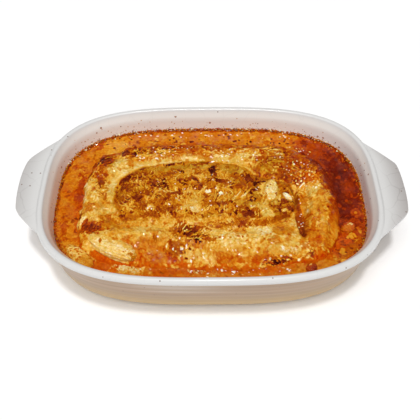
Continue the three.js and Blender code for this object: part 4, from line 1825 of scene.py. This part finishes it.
@dataclass(frozen=True)
class FoodPaint:
    """The food's colours, as functions of the plan."""

    form: FoodForm
    noise: Noise = Noise(23)

    def mottle(self, paint: Field, x: Field, y: Field, amount: Field | float = 1.0) -> Field:
        """Makes tones waver as curdled sauce does: pale curds, and darker, oilier hollows between them.

        Args:
            paint: Rows of (tone, soak, green).
            x, y: Places in plan.
            amount: How strongly, 1 for the sauce.

        Returns:
            The new rows.
        """
        n = self.noise
        curds = 0.08 * self.form.curds(x, y) + 0.06 * n.fractal(x + 70, y, 3.4, 2, 0.6)
        broad = 0.06 * n.fractal(x - 50, y, 13.0, 2)
        hollow = 0.5 * smooth(-6 * curds - 0.2)
        bright = 0.06 + 0.15 * (paint[:, 0] - 0.5)
        return paint + np.column_stack([bright + amount * (curds + broad), hollow * amount, np.zeros_like(x)])

    def crust_paint(self, x: Field, y: Field) -> Field:
        """The paint of the net of browned cheese.

        Args:
            x, y: Places in plan.

        Returns:
            Rows of (tone, soak, green).
        """
        n, form = self.noise, self.form
        sides = 0.05 * smooth((-x - 20) / 30) + 0.06 * smooth((x - 20) / 20)
        tone = 0.53 + 0.2 * form.streaks(x, y) + 0.08 * n.fractal(x, y, 13.0) - sides
        scorched = form.spots(x, y) * (0.85 + 0.35 * n.wave(x, y, 9.0))
        olive = (0.1 + 0.35 * smooth((x - 10) / 20)) * smooth(0.5 + n.fractal(x + 31, y, 11.0))
        paint = np.column_stack([tone - 0.4 * scorched, 0.1 + 0.3 * scorched, olive * (1 - scorched)])
        return lay_over(paint, CRUST_LAYERS, x, y, n)

    def stack_paint(self, x: Field, y: Field) -> Field:
        """The paint of the stack outside the crust.

        Args:
            x, y: Places in plan.

        Returns:
            Rows of (tone, soak, green).
        """
        n = self.noise
        tone = 0.7 + 0.1 * n.fractal(x, y, 14.0, 3, 0.5) + 0.1 * self.form.streaks(x, y)
        return lay_over(np.column_stack([tone, 0.9 - tone, np.zeros_like(x)]), STACK_LAYERS, x, y, n)

    def paint_at(self, x: Field, y: Field, z: Field) -> Field:
        """The cheese's paint.

        Args:
            x, y, z: Places on the food.

        Returns:
            Rows of (tone, soak, green).
        """
        n, form = self.noise, self.form
        crust = form.crust(x, y)
        paint = mix(self.stack_paint(x, y), self.crust_paint(x, y), crust[:, None])
        # Painted shade: the crease round the top sheet is painted dark olive.
        crease = 0.9 * form.moat(x, y) * smooth(1.1 + n.wave(x, y, 9.0))
        paint = mix(paint, MOSS.paint - np.array((0.12, 0, 0)), crease[:, None])
        veins = smooth((n.fractal(x + 44, y, 13.0, 4, 0.6) - 0.15) / 0.3) * (1 - 0.8 * crust)
        stained = paint + np.column_stack([-0.12 * veins, 0.6 * veins, 0 * veins])
        paint = np.where(paint[:, :1] > 0.35, stained, paint)
        # Painted highlight: a pale cream line along the stack's inner edge at the back left.
        lip = bell(form.top.share(x, y) - 1.05, 0.03) * smooth((-x - 20) / 25) * smooth((y - 2) / 12)
        paint = mix(paint, CREAM.paint, 0.6 * lip[:, None])
        right = smooth((x - 60 + 0.4 * y) / 60)
        shore = form.sauce_level + 3.4 + 2.6 * right * smooth((y + 30) / 30)
        low = smooth((shore + 3.0 * n.fractal(x, y, 7.0, 4, 0.6) - z) / 2.4)
        soaked = mix(VERMILION.paint, WINE.paint, right[:, None])
        paint = mix(paint, soaked, (0.85 * low)[:, None])
        side = right * smooth((y + 55) / 30)
        back = smooth((y - 30) / 25)
        margin = smooth((form.uneven_share(x, y) - 0.9 + 0.03 * n.fractal(x, y, 8.0, 3, 0.6)) / 0.04)
        browned = mix(BRICK.paint, WINE.paint, (right * smooth((y + 25) / 30))[:, None])
        paint = mix(paint, browned, (margin * np.maximum(0.95 * side, 0.7 * back))[:, None])
        return self.mottle(paint, x, y, 1.1 - 0.3 * crust)

    def oil_at(self, x: Field, y: Field, z: Field) -> Field:
        """How oily the cheese is.

        Args:
            x, y, z: Places on the food.

        Returns:
            The share of fat at each, 0 to 1.
        """
        low = smooth((self.form.sauce_level + 6 - z) / 5) * smooth((-y - 20) / 30)
        sheen = smooth(0.4 + 1.1 * self.noise.fractal(x + 33, y, 8.0, 3, 0.7))
        return clamp01(0.4 * low + 0.85 * sheen) * (1 - smooth((self.form.uneven_share(x, y) - 0.94) / 0.03))

    def apply(self, made: Object) -> None:
        """Paints a piece of the food.

        Args:
            made: The piece.
        """
        x, y, z = plan_of(made)
        write_colour(made, crisp(made, food_colour(self.paint_at(x, y, z))))
        write_number(made, "oil", self.oil_at(x, y, z))


# ---- Food: pieces ----


@dataclass
class SheetStack:
    """The wide stack of lasagne sheets, with a seat for the top sheet."""

    form: FoodForm
    paint: FoodPaint
    floor: float = 6.4
    columns: int = 1100
    rows: int = 86
    overlap: float = 0.02
    reach: float = 1.06

    def build(self, finish: FoodFinish) -> Object:
        """Makes the stack's closed surface: seat, top, side and underside.

        Args:
            finish: Its surface.

        Returns:
            The finished stack.
        """
        inner, outer = self.form.top, self.form.stack
        rows = np.concatenate([[-2.0, -1.0], np.linspace(0, 1, self.rows), [2.0, 3.0]])

        def place(row: Field, turn: Field) -> Field:
            """Where the rings' vertices lie.

            Args:
                row: Below 0 is the seat, 0 to 1 the top, and above 1 the side and underside.
                turn: Directions, in radians.

            Returns:
                Rows of x, y and z.
            """
            share = clamp01(row)
            ix, iy = inner.place(1 - self.overlap, turn)
            ox, oy = outer.place(self.reach, turn)
            x, y = mix(ix, ox, share), mix(iy, oy, share)
            z = self.form.stack_height(x, y)
            z = np.where(row < 0, self.form.seat, z)
            z = np.where(row > 1, self.floor, z)
            hub = (row == -2) | (row == 3)
            return np.column_stack([np.where(hub, inner.x, x), np.where(hub, inner.y, y), z])

        made = ring_surface("sheet_stack_cheese", rows, self.columns, place)
        self.paint.apply(made)
        made.data.materials.append(finish.build())
        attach(made, BODY)
        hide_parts("sheet_stack")
        return made


@dataclass
class TopSheet:
    """The narrower sheet on top of the stack, under a net of browned cheese."""

    form: FoodForm
    paint: FoodPaint
    rings: int = 155
    underside: float = 44.5

    def build(self, finish: FoodFinish) -> Object:
        """Makes the sheet from a square grid, whose outermost rings become its side and underside.

        Args:
            finish: Its surface.

        Returns:
            The finished sheet.
        """
        half = self.rings + 2
        mesh = grid_mesh("top_sheet_crust", 2 * half, 2 * half)
        grid = points_of(mesh)
        ring = np.rint(np.abs(grid[:, :2]).max(axis=1) * half)
        turn = np.arctan2(grid[:, 1], grid[:, 0])
        x, y = self.form.top.place(np.minimum(ring / self.rings, 1), turn)
        z = np.where(ring > self.rings, self.underside, self.form.top_height(x, y))
        closed = ring > self.rings + 1
        place_points(mesh, np.column_stack([np.where(closed, 0, x), np.where(closed, 0, y), z]))
        weld(mesh)
        made = show_mesh("top_sheet_crust", mesh)
        self.paint.apply(made)
        made.data.materials.append(finish.build())
        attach(made, BODY)
        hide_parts("top_sheet")
        return made


SAUCE_LAYERS: tuple[Layer, ...] = (
    # Back.
    Patch(-95, 68, 20, 15, 35, GOLD, 0.35, 0.5),
    Patch(-95, 70, 13, 10, 20, TAN, 0.35, 0.4),
    Patch(-112, 73, 4, 5, 0, BRICK, 0.75, 0.5),
    Patch(-132, 44, 4, 4, 0, BRICK, 0.75, 0.5),
    Patch(-25, 76, 30, 3, 0, BRICK, 0.5, 0.9),
    Patch(18, 73, 14, 4, 0, VERMILION, 0.6, 0.6),
    # Left.
    Patch(-130, 30, 9, 14, 10, GOLD, 0.4, 0.5),
    Patch(-132, 8, 10, 6, 0, VERMILION, 0.6, 0.6),
    Patch(-124, 12, 5, 26, 0, BRICK, 0.85, 0.6),
    Patch(-130, -12, 9, 10, 0, ORANGE, 0.6, 0.5),
    Patch(-122, -30, 4, 20, 10, VERMILION, 0.6, 0.6),
    Patch(-130, -40, 10, 10, 0, AMBER, 0.55, 0.4),
    Patch(-134, -36, 4, 22, 4, BRICK, 0.6, 0.8),
    # Front.
    Patch(-118, -64, 22, 11, -44, GOLD, 0.8, 0.7, 0.3),
    Patch(-94, -76, 16, 8, -14, VERMILION, 0.95, 0.4),
    Patch(-98, -75, 9, 4, -30, BRICK, 0.5, 0.6),
    Patch(-25, -82, 36, 9, 0, VERMILION, 0.95, 0.4),
    Patch(-30, -83, 24, 6, 0, BRICK, 0.45, 0.8),
    Patch(-72, -78, 12, 5, -12, GOLD, 0.9, 0.7, 0.3),
    Patch(-74, -77, 10, 3, -12, YELLOW, 0.9, 0.8, 0.6),
    Patch(-4, -80, 12, 5, -10, YELLOW, 0.85, 0.9, 0.6),
    # Painted highlights: white flecks standing for glints on the sauce.
    Flecks(-6, -82, 14, 6, 0, WHITE, 2.4, 0.2, 0.3),
    Flecks(-42, -77, 5, 3, 0, WHITE, 2.2, 0.35, 0.4),
    Patch(35, -80, 44, 7, 2, VERMILION, 0.95, 0.5),
    Patch(24, -80, 36, 3, 2, BRICK, 0.45, 0.8),
    Patch(25, -86, 50, 3, 0, ORANGE, 0.7, 0.5),
    Patch(78, -82, 14, 6, 0, AMBER, 0.6, 0.5),
    # Right.
    Patch(130, -22, 18, 44, 0, BRICK, 0.85, 0.4),
    Patch(125, -62, 22, 15, 45, AMBER, 0.55, 0.5),
    Patch(115, -58, 17, 5.5, 40, VERMILION),
    Patch(122, -48, 6, 8, 0, VERMILION, 0.7, 0.6),
    Patch(128, 18, 20, 50, 0, WINE, 0.95, 0.4),
    # Painted shadow: dark maroon along the stack's right foot.
    Patch(124, 14, 9, 40, -6, MAROON, 0.6, 0.6),
    Patch(133, 16, 7, 10, 0, BRICK, 0.5, 0.4),
    Patch(112, 58, 22, 20, -40, WINE, 0.65, 0.5),
    Patch(100, 72, 16, 10, -30, BRICK, 0.7, 0.5),
    Patch(97, 77, 4, 5, 0, WINE, 0.8, 0.5),
    Patch(120, -60, 14, 6, 45, RUST, 0.5, 0.9),
    Flecks(122, -56, 14, 26, -30, GOLD, 6, 0.3, 0.3),
    Flecks(124, -54, 13, 28, -30, BROWN, 3, 0.2),
    Flecks(130, 0, 14, 40, 0, BRICK, 5, 0.3, 0.2),
    Patch(136, -16, 5, 5, 0, ORANGE, 0.6, 0.2),
    Patch(136, -16, 3.6, 3.6, 0, BRICK, 0.7, 0.2),
    Patch(136, -16, 1.6, 1.6, 0, GOLD, 0.6, 0.3),
    Flecks(0, 0, 150, 100, 0, BROWN, 4, 0.07),
    Flecks(-25, 80, 110, 11, 0, MAROON, 3.6, 0.1),
    Flecks(-25, 80, 120, 13, 0, CHAR, 2.4, 0.05),
    Flecks(-25, 80, 110, 11, 0, GOLD, 5, 0.08),
    Flecks(-90, -72, 40, 10, -15, GOLD, 3.6, 0.14),
    # Painted highlights: white flecks standing for glints on the sauce.
    Flecks(30, -81, 44, 4, 0, WHITE, 1.8, 0.14, 0.2),
    Flecks(-15, 66, 60, 3, 0, WHITE, 1.6, 0.12, 0.2),
    Flecks(92, 66, 14, 3, -20, WHITE, 1.6, 0.2, 0.2),
    Flecks(-60, 90, 80, 5, 0, WHITE, 1.6, 0.06, 0.2),
    Flecks(60, 88, 60, 5, 0, WHITE, 1.6, 0.05, 0.2),
)


@dataclass
class Sauce:
    """The creamy tomato sauce round the stack, up to its level."""

    form: FoodForm
    dish: BakingDish
    paint: FoodPaint
    columns: int = 1200
    rows: int = 56
    inner_share: float = 0.93
    tucked: float = 0.07
    floor: float = 6.4
    foot_rise: float = 14.0
    foot_inset: float = 8.0
    knee: float = 22.0
    gap: float = 0.05
    noise: Noise = Noise(37)

    def lumps(self, x: Field, y: Field) -> Field:
        """The creamy lumps' shape.

        Args:
            x, y: Places in plan.

        Returns:
            The height at each, 0 to 1.
        """
        bent_x = x + 3 * self.noise.wave(x, y, 10.0)
        bent_y = y + 3 * self.noise.wave(x + 60, y, 10.0)
        return self.noise.domes(bent_x, bent_y, 19.0, 0.8, 0.16)

    def wall_gap(self, x: Field, y: Field) -> Field:
        """The distance to the dish's wall.

        Args:
            x, y: Places in plan.

        Returns:
            The distance from each, roughly.
        """
        inset = float(self.dish.inner_inset(self.form.sauce_level))
        u, v = x / (self.dish.half_length - inset), y / (self.dish.half_width - inset)
        share = np.hypot(u, v) / squareness(np.arctan2(v, u), self.dish.corner)
        return (1 - share) * np.hypot(x, y)

    def surface(self, x: Field, y: Field, wall: Field, bank: Field) -> Field:
        """The sauce's surface.

        Args:
            x, y: Places in plan.
            wall: The distance to the dish's wall.
            bank: The distance to the stack.

        Returns:
            The height at each place.
        """
        n = self.noise
        waves = 0.3 * n.fractal(x, y, 16.0) + 0.2 * n.fractal(x, y, 4.5, 3, 0.65)
        crag = sum(p.rough * p.covers(x, y, n) for p in SAUCE_LAYERS if isinstance(p, Patch))
        calm = 1 - 0.8 * smooth((x - 85) / 35)
        waves += crag * n.fractal(x + 7, y, 2.8, 3, 0.7) + 0.6 * calm * self.lumps(x, y)
        shore = 0.4 + 0.4 * n.wave(x, y, 6.0)
        climb = shore * np.exp(-np.maximum(wall, 0) / 1.5) + 0.5 * np.exp(-np.maximum(bank, 0) / 1.5)
        climb += 0.7 * bell(wall - 1.5, 1.6) * n.fractal(x - 9, y, 2.6, 2, 0.6)
        return self.form.sauce_level + waves + climb - 0.3

    def build(self, finish: FoodFinish) -> Object:
        """Makes the ring: the side against the stack, the surface, and the side against the dish.

        Args:
            finish: Its surface.

        Returns:
            The finished sauce.
        """
        inset = self.dish.inner_inset
        rows = np.concatenate([[-1.0], np.linspace(0, 1, self.rows), [2.0, 3.0]])

        def place(row: Field, turn: Field) -> Field:
            """Where the rings' vertices lie.

            Args:
                row: -1 is the foot at the stack, 0 to 1 the surface, 2 and 3 the dish side and its foot.
                turn: Directions, in radians.

            Returns:
                Rows of x, y and z.
            """
            share = clamp01(row)
            sx, sy = self.form.stack.place(self.inner_share, turn)
            wx, wy = self.dish.plan(inset(self.form.sauce_level) + self.gap, turn)
            x, y = mix(sx, wx, share), mix(sy, wy, share)
            span = np.hypot(wx - sx, wy - sy)
            bank = share * span - self.tucked * self.form.stack.half_width
            z = self.surface(x, y, (1 - share) * span, bank)
            foot_x, foot_y = self.dish.plan(inset(self.floor + self.foot_rise) + self.foot_inset, turn)
            knee_x, knee_y = self.dish.plan(inset(self.knee) + self.gap, turn)
            x = np.where(row == 2, knee_x, np.where(row == 3, foot_x, x))
            y = np.where(row == 2, knee_y, np.where(row == 3, foot_y, y))
            z = np.where((row < 0) | (row == 3), self.floor, np.where(row == 2, self.knee, z))
            return np.column_stack([x, y, z])

        made = ring_surface("tomato_sauce", rows, self.columns, place)
        self.dress(made, finish)
        return made

    def dress(self, made: Object, finish: FoodFinish) -> None:
        """Paints the sauce and gives it its finish.

        Args:
            made: The sauce.
            finish: Its surface.
        """
        x, y, _ = plan_of(made)
        n = self.noise
        tone = smooth(0.5 + 0.6 * n.fractal(x, y, 12.0, 4, 0.6))
        deep = smooth((-y - 20) / 70)
        pool = mix(ORANGE.paint, AMBER.paint, (tone * (1 - 0.6 * deep))[:, None])
        cream = (0.22 * self.lumps(x, y) * (1 - smooth((x - 90) / 40)))[:, None]
        paint = mix(pool, GOLD.paint, cream)
        paint = lay_over(paint, SAUCE_LAYERS, x, y, n)
        # Painted light: the sauce is painted lighter along the front, against the rim's shade; it is a little
        # darker at the right and left.
        front, right, left = smooth((-y - 66) / 10), smooth((x - 95) / 25), smooth((-x - 100) / 20)
        paint[:, 0] += 0.1 * front - 0.04 * right - 0.03 * left
        gap = self.wall_gap(x, y)
        edge = smooth((2.8 + 1.8 * n.fractal(x, y, 5.0) - gap) / 1.4)
        paint = mix(paint, BRICK.paint, (0.8 * edge)[:, None])
        screen = food_colour(self.paint.mottle(paint, x, y, 0.8 - 0.35 * smooth((x - 90) / 30)))
        write_colour(made, crisp(made, screen))
        write_number(made, "oil", smooth(0.5 + 0.7 * n.fractal(x, y, 9.0)))
        made.data.materials.append(finish.build())
        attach(made, BODY)
        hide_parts("sauce")


@dataclass
class TideLine:
    """Sauce that baked hard along the dish's wall: crumbs at and just above the sauce."""

    dish: BakingDish
    doublings: int = 11
    seed: int = 5
    lowest: float = 0.4
    radius: tuple[float, float] = (0.4, 1.05)
    # The share of crumbs at the back that are painted white, as painted glints.
    glints: float = 0.09
    tints: tuple[Tint, ...] = (
        *(RUST, MAROON, BRICK, BRICK, ORANGE),
        *(AMBER, GOLD, AMBER, GOLD, TANGERINE, TANGERINE),
    )

    def crumb(self, draw: np.random.Generator, turn: float, ball: Field) -> tuple[Field, Tint]:
        """One crumb.

        Args:
            draw: What its sizes are drawn from.
            turn: Its direction from the dish's middle.
            ball: A ball's vertices, which it stretches and turns.

        Returns:
            Its vertices, in millimetres, and its tint.
        """
        back = 0.5 + 0.5 * math.sin(turn)
        up = draw.uniform(0.0, 0.5 + 1.3 * back) + draw.exponential(0.3 * back)
        away = draw.exponential(0.8) if up < 0.5 else 0.0
        z = self.dish.sauce_level + self.lowest + up
        radius = draw.uniform(*self.radius) * (0.55 if up > 2 else 1.0)
        x, y = self.dish.plan(self.dish.inner_inset(z) + 0.35 * radius + away, np.array(turn))
        stretch = radius * draw.uniform((0.7, 0.7, 0.6), (1.5, 1.3, 1.1))
        spin = np.array(Matrix.Rotation(draw.uniform(0, math.pi), 3, "Z"))
        # Some crumbs at the back are painted white: painted glints.
        glint = back > 0.7 and draw.uniform() < self.glints
        tint = WHITE if glint else self.tints[int(draw.integers(len(self.tints)))]
        return ball * stretch @ spin.T + (float(x), float(y), z), tint

    def build(self, finish: FoodFinish) -> Object:
        """Scatters the crumbs round the wall, thickest at the back.

        Args:
            finish: Their surface.

        Returns:
            The finished crumbs, as one mesh.
        """
        draw = np.random.default_rng(self.seed)
        bm = bmesh.new()
        bmesh.ops.create_icosphere(bm, subdivisions=1, radius=1.0)
        bmesh.ops.recalc_face_normals(bm, faces=bm.faces)
        ball = np.array([vert.co for vert in bm.verts])
        for _ in range(self.doublings):
            bmesh.ops.duplicate(bm, geom=bm.verts[:] + bm.edges[:] + bm.faces[:])
        mesh = mesh_of("baked_on_crust", bm)
        count = 2**self.doublings
        turns = draw.uniform(0, 2 * math.pi, 6 * count)
        kept = turns[draw.uniform(size=6 * count) < 0.25 + 0.6 * smooth(0.9 * np.sin(turns) + 0.1)]
        crumbs = [self.crumb(draw, turn, ball) for turn in kept[:count]]
        place_points(mesh, np.vstack([points for points, _ in crumbs]))
        made = show_mesh("baked_on_crust", mesh)
        write_colour(made, np.vstack([np.tile(tint.screen, (len(ball), 1)) for _, tint in crumbs]))
        write_number(made, "oil", np.full(len(mesh.vertices), 0.9))
        made.data.materials.append(finish.build())
        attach(made, BODY)
        return made


@dataclass(frozen=True)
class LoosePiece:
    """A lumpy rounded piece at the food's surface.

    Attributes:
        name: The piece's name.
        node: The solid that it stands for.
        slot: The record's material slot. It is not used.
        finish: Its surface.
        x, y: Its middle.
        half: Half its length, width and height.
        base: The height of its middle.
        turn: The angle of its length from +X, in degrees.
        under: Its colour.
        layers: What is painted over it.
        lumps: How uneven it is, as a share of its size.
        wrinkle: The relief on it.
        stretch: How far its wrinkles are drawn out along it.
        oil: How oily it is, 0 to 1.
        rim: How far it turns rust brown towards its bottom, 0 to 1.
        flat: How flat its top is, 1 for round.
    """

    name: str
    node: str
    slot: str
    finish: FoodFinish
    x: float
    y: float
    half: tuple[float, float, float]
    base: float
    turn: float
    under: Tint
    layers: tuple[Layer, ...] = ()
    lumps: float = 0.08
    wrinkle: float = 0.3
    stretch: float = 1.0
    oil: float = 0.4
    rim: float = 0.4
    flat: float = 1.4
    noise: Noise = Noise(51)

    def build(self, paint: FoodPaint) -> Object:
        """Makes the piece from a ball that is stretched, made lumpy, turned and set in its place.

        Args:
            paint: What gives its colours.

        Returns:
            The finished piece.
        """
        bm = bmesh.new()
        bmesh.ops.create_icosphere(bm, subdivisions=6, radius=1.0)
        mesh = mesh_of(self.name, bm)
        ball = points_of(mesh)
        n = self.noise
        lump = 1 + self.lumps * n.fractal(ball[:, 0] + self.x, ball[:, 1] + self.y + 2 * ball[:, 2], 0.9)
        points = ball * lump[:, None]
        points[:, 2] = np.sign(ball[:, 2]) * (1 - (1 - np.abs(ball[:, 2])) ** self.flat) * lump
        points *= np.array(self.half)
        along, across = points[:, 0] / self.stretch + self.x, points[:, 1] + self.y + points[:, 2]
        points += ball * (self.wrinkle * n.fractal(along, across, 2.6, 3, 0.6))[:, None]
        angle = math.radians(self.turn)
        c, s = math.cos(angle), math.sin(angle)
        x = self.x + points[:, 0] * c - points[:, 1] * s
        y = self.y + points[:, 0] * s + points[:, 1] * c
        z = self.base + points[:, 2]
        place_points(mesh, np.column_stack([x, y, z]))
        made = show_mesh(self.name, mesh)
        rows = np.tile(self.under.paint, (len(x), 1))
        rows[:, 0] += 0.12 * n.fractal(along, across, 1.8, 3, 0.7)
        rows = lay_over(rows, self.layers, x, y, n)
        # Rust brown towards the bottom of the piece.
        edge = self.rim * smooth((0.5 - ball[:, 2] + 0.25 * n.fractal(x, y, 4.0, 3, 0.7)) / 0.35)
        rows = mix(rows, RUST.paint, edge[:, None])
        wet = smooth((paint.form.sauce_level + 1.6 + 0.8 * n.fractal(x, y, 4.0) - z) / 1.2)
        rows = mix(rows, VERMILION.paint, (0.8 * wet)[:, None])
        write_colour(made, crisp(made, food_colour(paint.mottle(rows, x, y, 0.6))))
        write_number(made, "oil", np.full(len(x), self.oil))
        made.data.materials.append(self.finish.build())
        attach(made, BODY)
        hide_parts(self.node)
        return made


LOOSE_PIECES = (
    LoosePiece(
        "front_sheet_corner", "sheet_corner", "pale_cheese", PALE_CHEESE,
        x=-87, y=-59, half=(25, 10.5, 8), base=44, turn=-28, under=PALE,
        layers=(
            Shreds(-87, -59, 24, 10, -28, TAN, 70, 18, 0.6, 0, (-200, 2), 8),
            Shreds(-87, -59, 24, 10, -28, CREAM, 60, 16, 0.6, 0, (-200, 2), 8),
            Patch(-85, -60, 17, 6, -28, CREAM, 0.35, 0.6),
            Patch(-104, -50, 7, 5, -28, TAN, 0.6, 0.7),
            Patch(-97, -57, 1.4, 2.6, 10, RUST, 0.85, 0.3),
            Patch(-90, -53, 20, 4, -28, GOLD, 0.5, 0.6),
            Patch(-68, -71, 6, 1.8, -22, RUST, 0.7, 0.9),
            Patch(-72, -63, 6, 3, -30, GOLD, 0.5, 0.7),
        ),
        lumps=0.1,
        wrinkle=0.5,
        stretch=3.0,
        rim=0.12,
    ),
    LoosePiece(
        "floating_cheese", "cheese_island", "pale_cheese", PALE_CHEESE,
        x=-116, y=-66, half=(18, 7.5, 4), base=38.4, turn=-44, under=GOLD,
        layers=(
            Patch(-119, -61, 9, 6, -44, PALE, 0.8, 0.8),
            Patch(-106, -73, 8, 4, -30, AMBER, 0.7, 0.6),
            Flecks(-118, -62, 12, 8, -44, ORANGE, 3, 0.3),
        ),
        lumps=0.12,
        wrinkle=0.7,
        oil=0.6,
    ),
    LoosePiece(
        "cheese_lump_pale", "cheese_lump", "pale_cheese", PALE_CHEESE,
        x=56.5, y=-2, half=(12, 7, 3.0), base=53.6, turn=82, under=PALE,
        layers=(
            Patch(56, -1, 8, 5, 82, CREAM, 0.6, 0.6),
            Patch(63, -4, 2, 9, 0, OLIVE, 0.4, 0.5),
            Patch(50, -8, 2, 3, 0, RUST, 0.5, 0.8),
            Flecks(56, -2, 7, 12, 0, BROWN, 3, 0.16),
        ),
        lumps=0.2,
        wrinkle=0.7,
        stretch=1.6,
        oil=0.6,
    ),
    LoosePiece(
        "onion_piece", "onion_sliver", "onion", ONION,
        x=71.5, y=-8, half=(6.2, 2.6, 2.6), base=52.2, turn=-50, under=CREAM,
        layers=(Patch(72, -7, 4.5, 1.4, -50, WHITE, 0.4, 0.3),),
        lumps=0.03,
        wrinkle=0.1,
    ),
    LoosePiece(
        "tomato_piece_right", "tomato_piece_side", "tomato", TOMATO,
        x=125.5, y=-35, half=(6.8, 5.6, 4.6), base=39.4, turn=30, under=VERMILION,
        layers=(
            Patch(125, -37, 5, 4, 30, AMBER, 0.6, 0.7),
            # Painted highlight: a cream spot on the tomato.
            Patch(128, -33, 2.4, 1.6, 30, CREAM, 0.8, 0.5),
            Patch(121, -31, 3, 4, 0, WINE, 0.6, 0.7),
        ),
        lumps=0.12,
        wrinkle=0.5,
        oil=0.8,
    ),
    LoosePiece(
        "tomato_piece_near", "tomato_piece_front", "tomato", TOMATO,
        x=88, y=-79, half=(5.2, 4.2, 3.6), base=39.2, turn=10, under=BRICK,
        layers=(
            # Painted highlight: a cream spot on the tomato.
            Patch(87, -77, 2, 1.4, 30, CREAM, 0.7, 0.6),
            Patch(90, -80, 3, 2, 0, WINE, 0.6, 0.6),
        ),
        lumps=0.12,
        wrinkle=0.5,
        oil=0.8,
    ),
)


# ---- Studio ----


@dataclass
class Studio:
    """A pale floor, soft light and the camera."""

    look_at: tuple[float, float, float] = (-0.36, -31.4, 62.0)
    elevation: float = 50.0
    azimuth: float = -0.4
    distance: float = 583.8
    lens: float = 56.12
    floor_size: float = 6000.0
    sky: float = 0.17
    key: float = 0.34
    low: float = 0.14
    white: float = 1.04

    def build(self) -> None:
        """Sets up everything round the object."""
        self.colours()
        self.floor()
        self.light()
        self.camera()

    def colours(self) -> None:
        """Shows colours as they are, without a film curve."""
        view = bpy.context.scene.view_settings
        view.view_transform = "Standard"
        view.look = "None"

    def floor(self) -> None:
        """Lays a plain white floor."""
        mesh = grid_mesh("studio_floor", 1, 1)
        place_points(mesh, points_of(mesh) * self.floor_size / 2)
        made = show_mesh("studio_floor", mesh)
        material, tree = new_material("White paper")
        matt = {"Base Color": colour("#fefefe"), "Roughness": 0.9, "Specular IOR Level": 0.0}
        close_material(tree, add(tree, "BsdfPrincipled", matt))
        made.data.materials.append(material)

    def lamp(self, name: str, towards: tuple[float, float], width: float, share: float) -> Object:
        """Adds a distant soft light.

        Args:
            name: Its name.
            towards: The elevation and the swing to the right of the front that it shines from, in degrees.
            width: How wide it looks, in degrees.
            share: Its share of the light on the floor.

        Returns:
            The light.
        """
        lift, swing = math.radians(towards[0]), math.radians(towards[1])
        data = bpy.data.lights.new(name, "SUN")
        data.angle = math.radians(width)
        data.energy = share * self.white * math.pi / math.sin(lift)
        made = bpy.data.objects.new(name, data)
        source = Vector((math.cos(lift) * math.sin(swing), -math.cos(lift) * math.cos(swing), math.sin(lift)))
        made.location = source
        made.rotation_euler = (-source).to_track_quat("-Z", "Y").to_euler()
        bpy.context.scene.collection.objects.link(made)
        return made

    def light(self) -> None:
        """Lights the scene from the front and above, over a soft sky."""
        world = bpy.data.worlds.new("Studio")
        world.use_nodes = True
        background = world.node_tree.nodes["Background"]
        background.inputs["Color"].default_value = (1, 1, 1, 1)
        background.inputs["Strength"].default_value = self.sky
        bpy.context.scene.world = world
        soft = self.lamp("soft_key", (72, -22), 34, self.key)
        front = self.lamp("low_front", (42, 4), 8, self.low)
        for lamp in (soft, front):
            lamp.visible_glossy = False
        self.lamp("small_high", (82, 8), 6, 1 - self.key - self.low - self.sky)

    def camera(self) -> None:
        """Stands the camera in front of the dish, looking down on it."""
        data = bpy.data.cameras.new("Camera")
        data.lens = self.lens
        data.sensor_width = 36.0
        data.clip_start = 0.01
        data.clip_end = 50.0
        made = bpy.data.objects.new("Camera", data)
        tilt, swing = math.radians(self.elevation), math.radians(self.azimuth)
        level = self.distance * math.cos(tilt)
        target = Vector(self.look_at)
        offset = Vector((level * math.sin(swing), -level * math.cos(swing), self.distance * math.sin(tilt)))
        made.location = (target + offset) * MM
        made.rotation_euler = (-offset).to_track_quat("-Z", "Y").to_euler()
        bpy.context.scene.collection.objects.link(made)
        bpy.context.scene.camera = made


# ---- Assembly ----


def main() -> None:
    """Builds and dresses every piece in order."""
    logging.basicConfig(level=logging.INFO, format="%(name)s: %(message)s")
    form = FoodForm()
    paint = FoodPaint(form)
    dish = BakingDish()
    made = [
        dish.build(),
        Sauce(form, dish, paint).build(TOMATO_SAUCE),
        TideLine(dish).build(CRUST),
        SheetStack(form, paint).build(BAKED_CHEESE),
        TopSheet(form, paint).build(BROWNED_CHEESE),
        *(piece.build(paint) for piece in LOOSE_PIECES),
    ]
    for piece in made:
        log.info("built %s with %d faces", piece.name, len(piece.data.polygons))
    Studio().build()


if __name__ == "__main__":
    main()
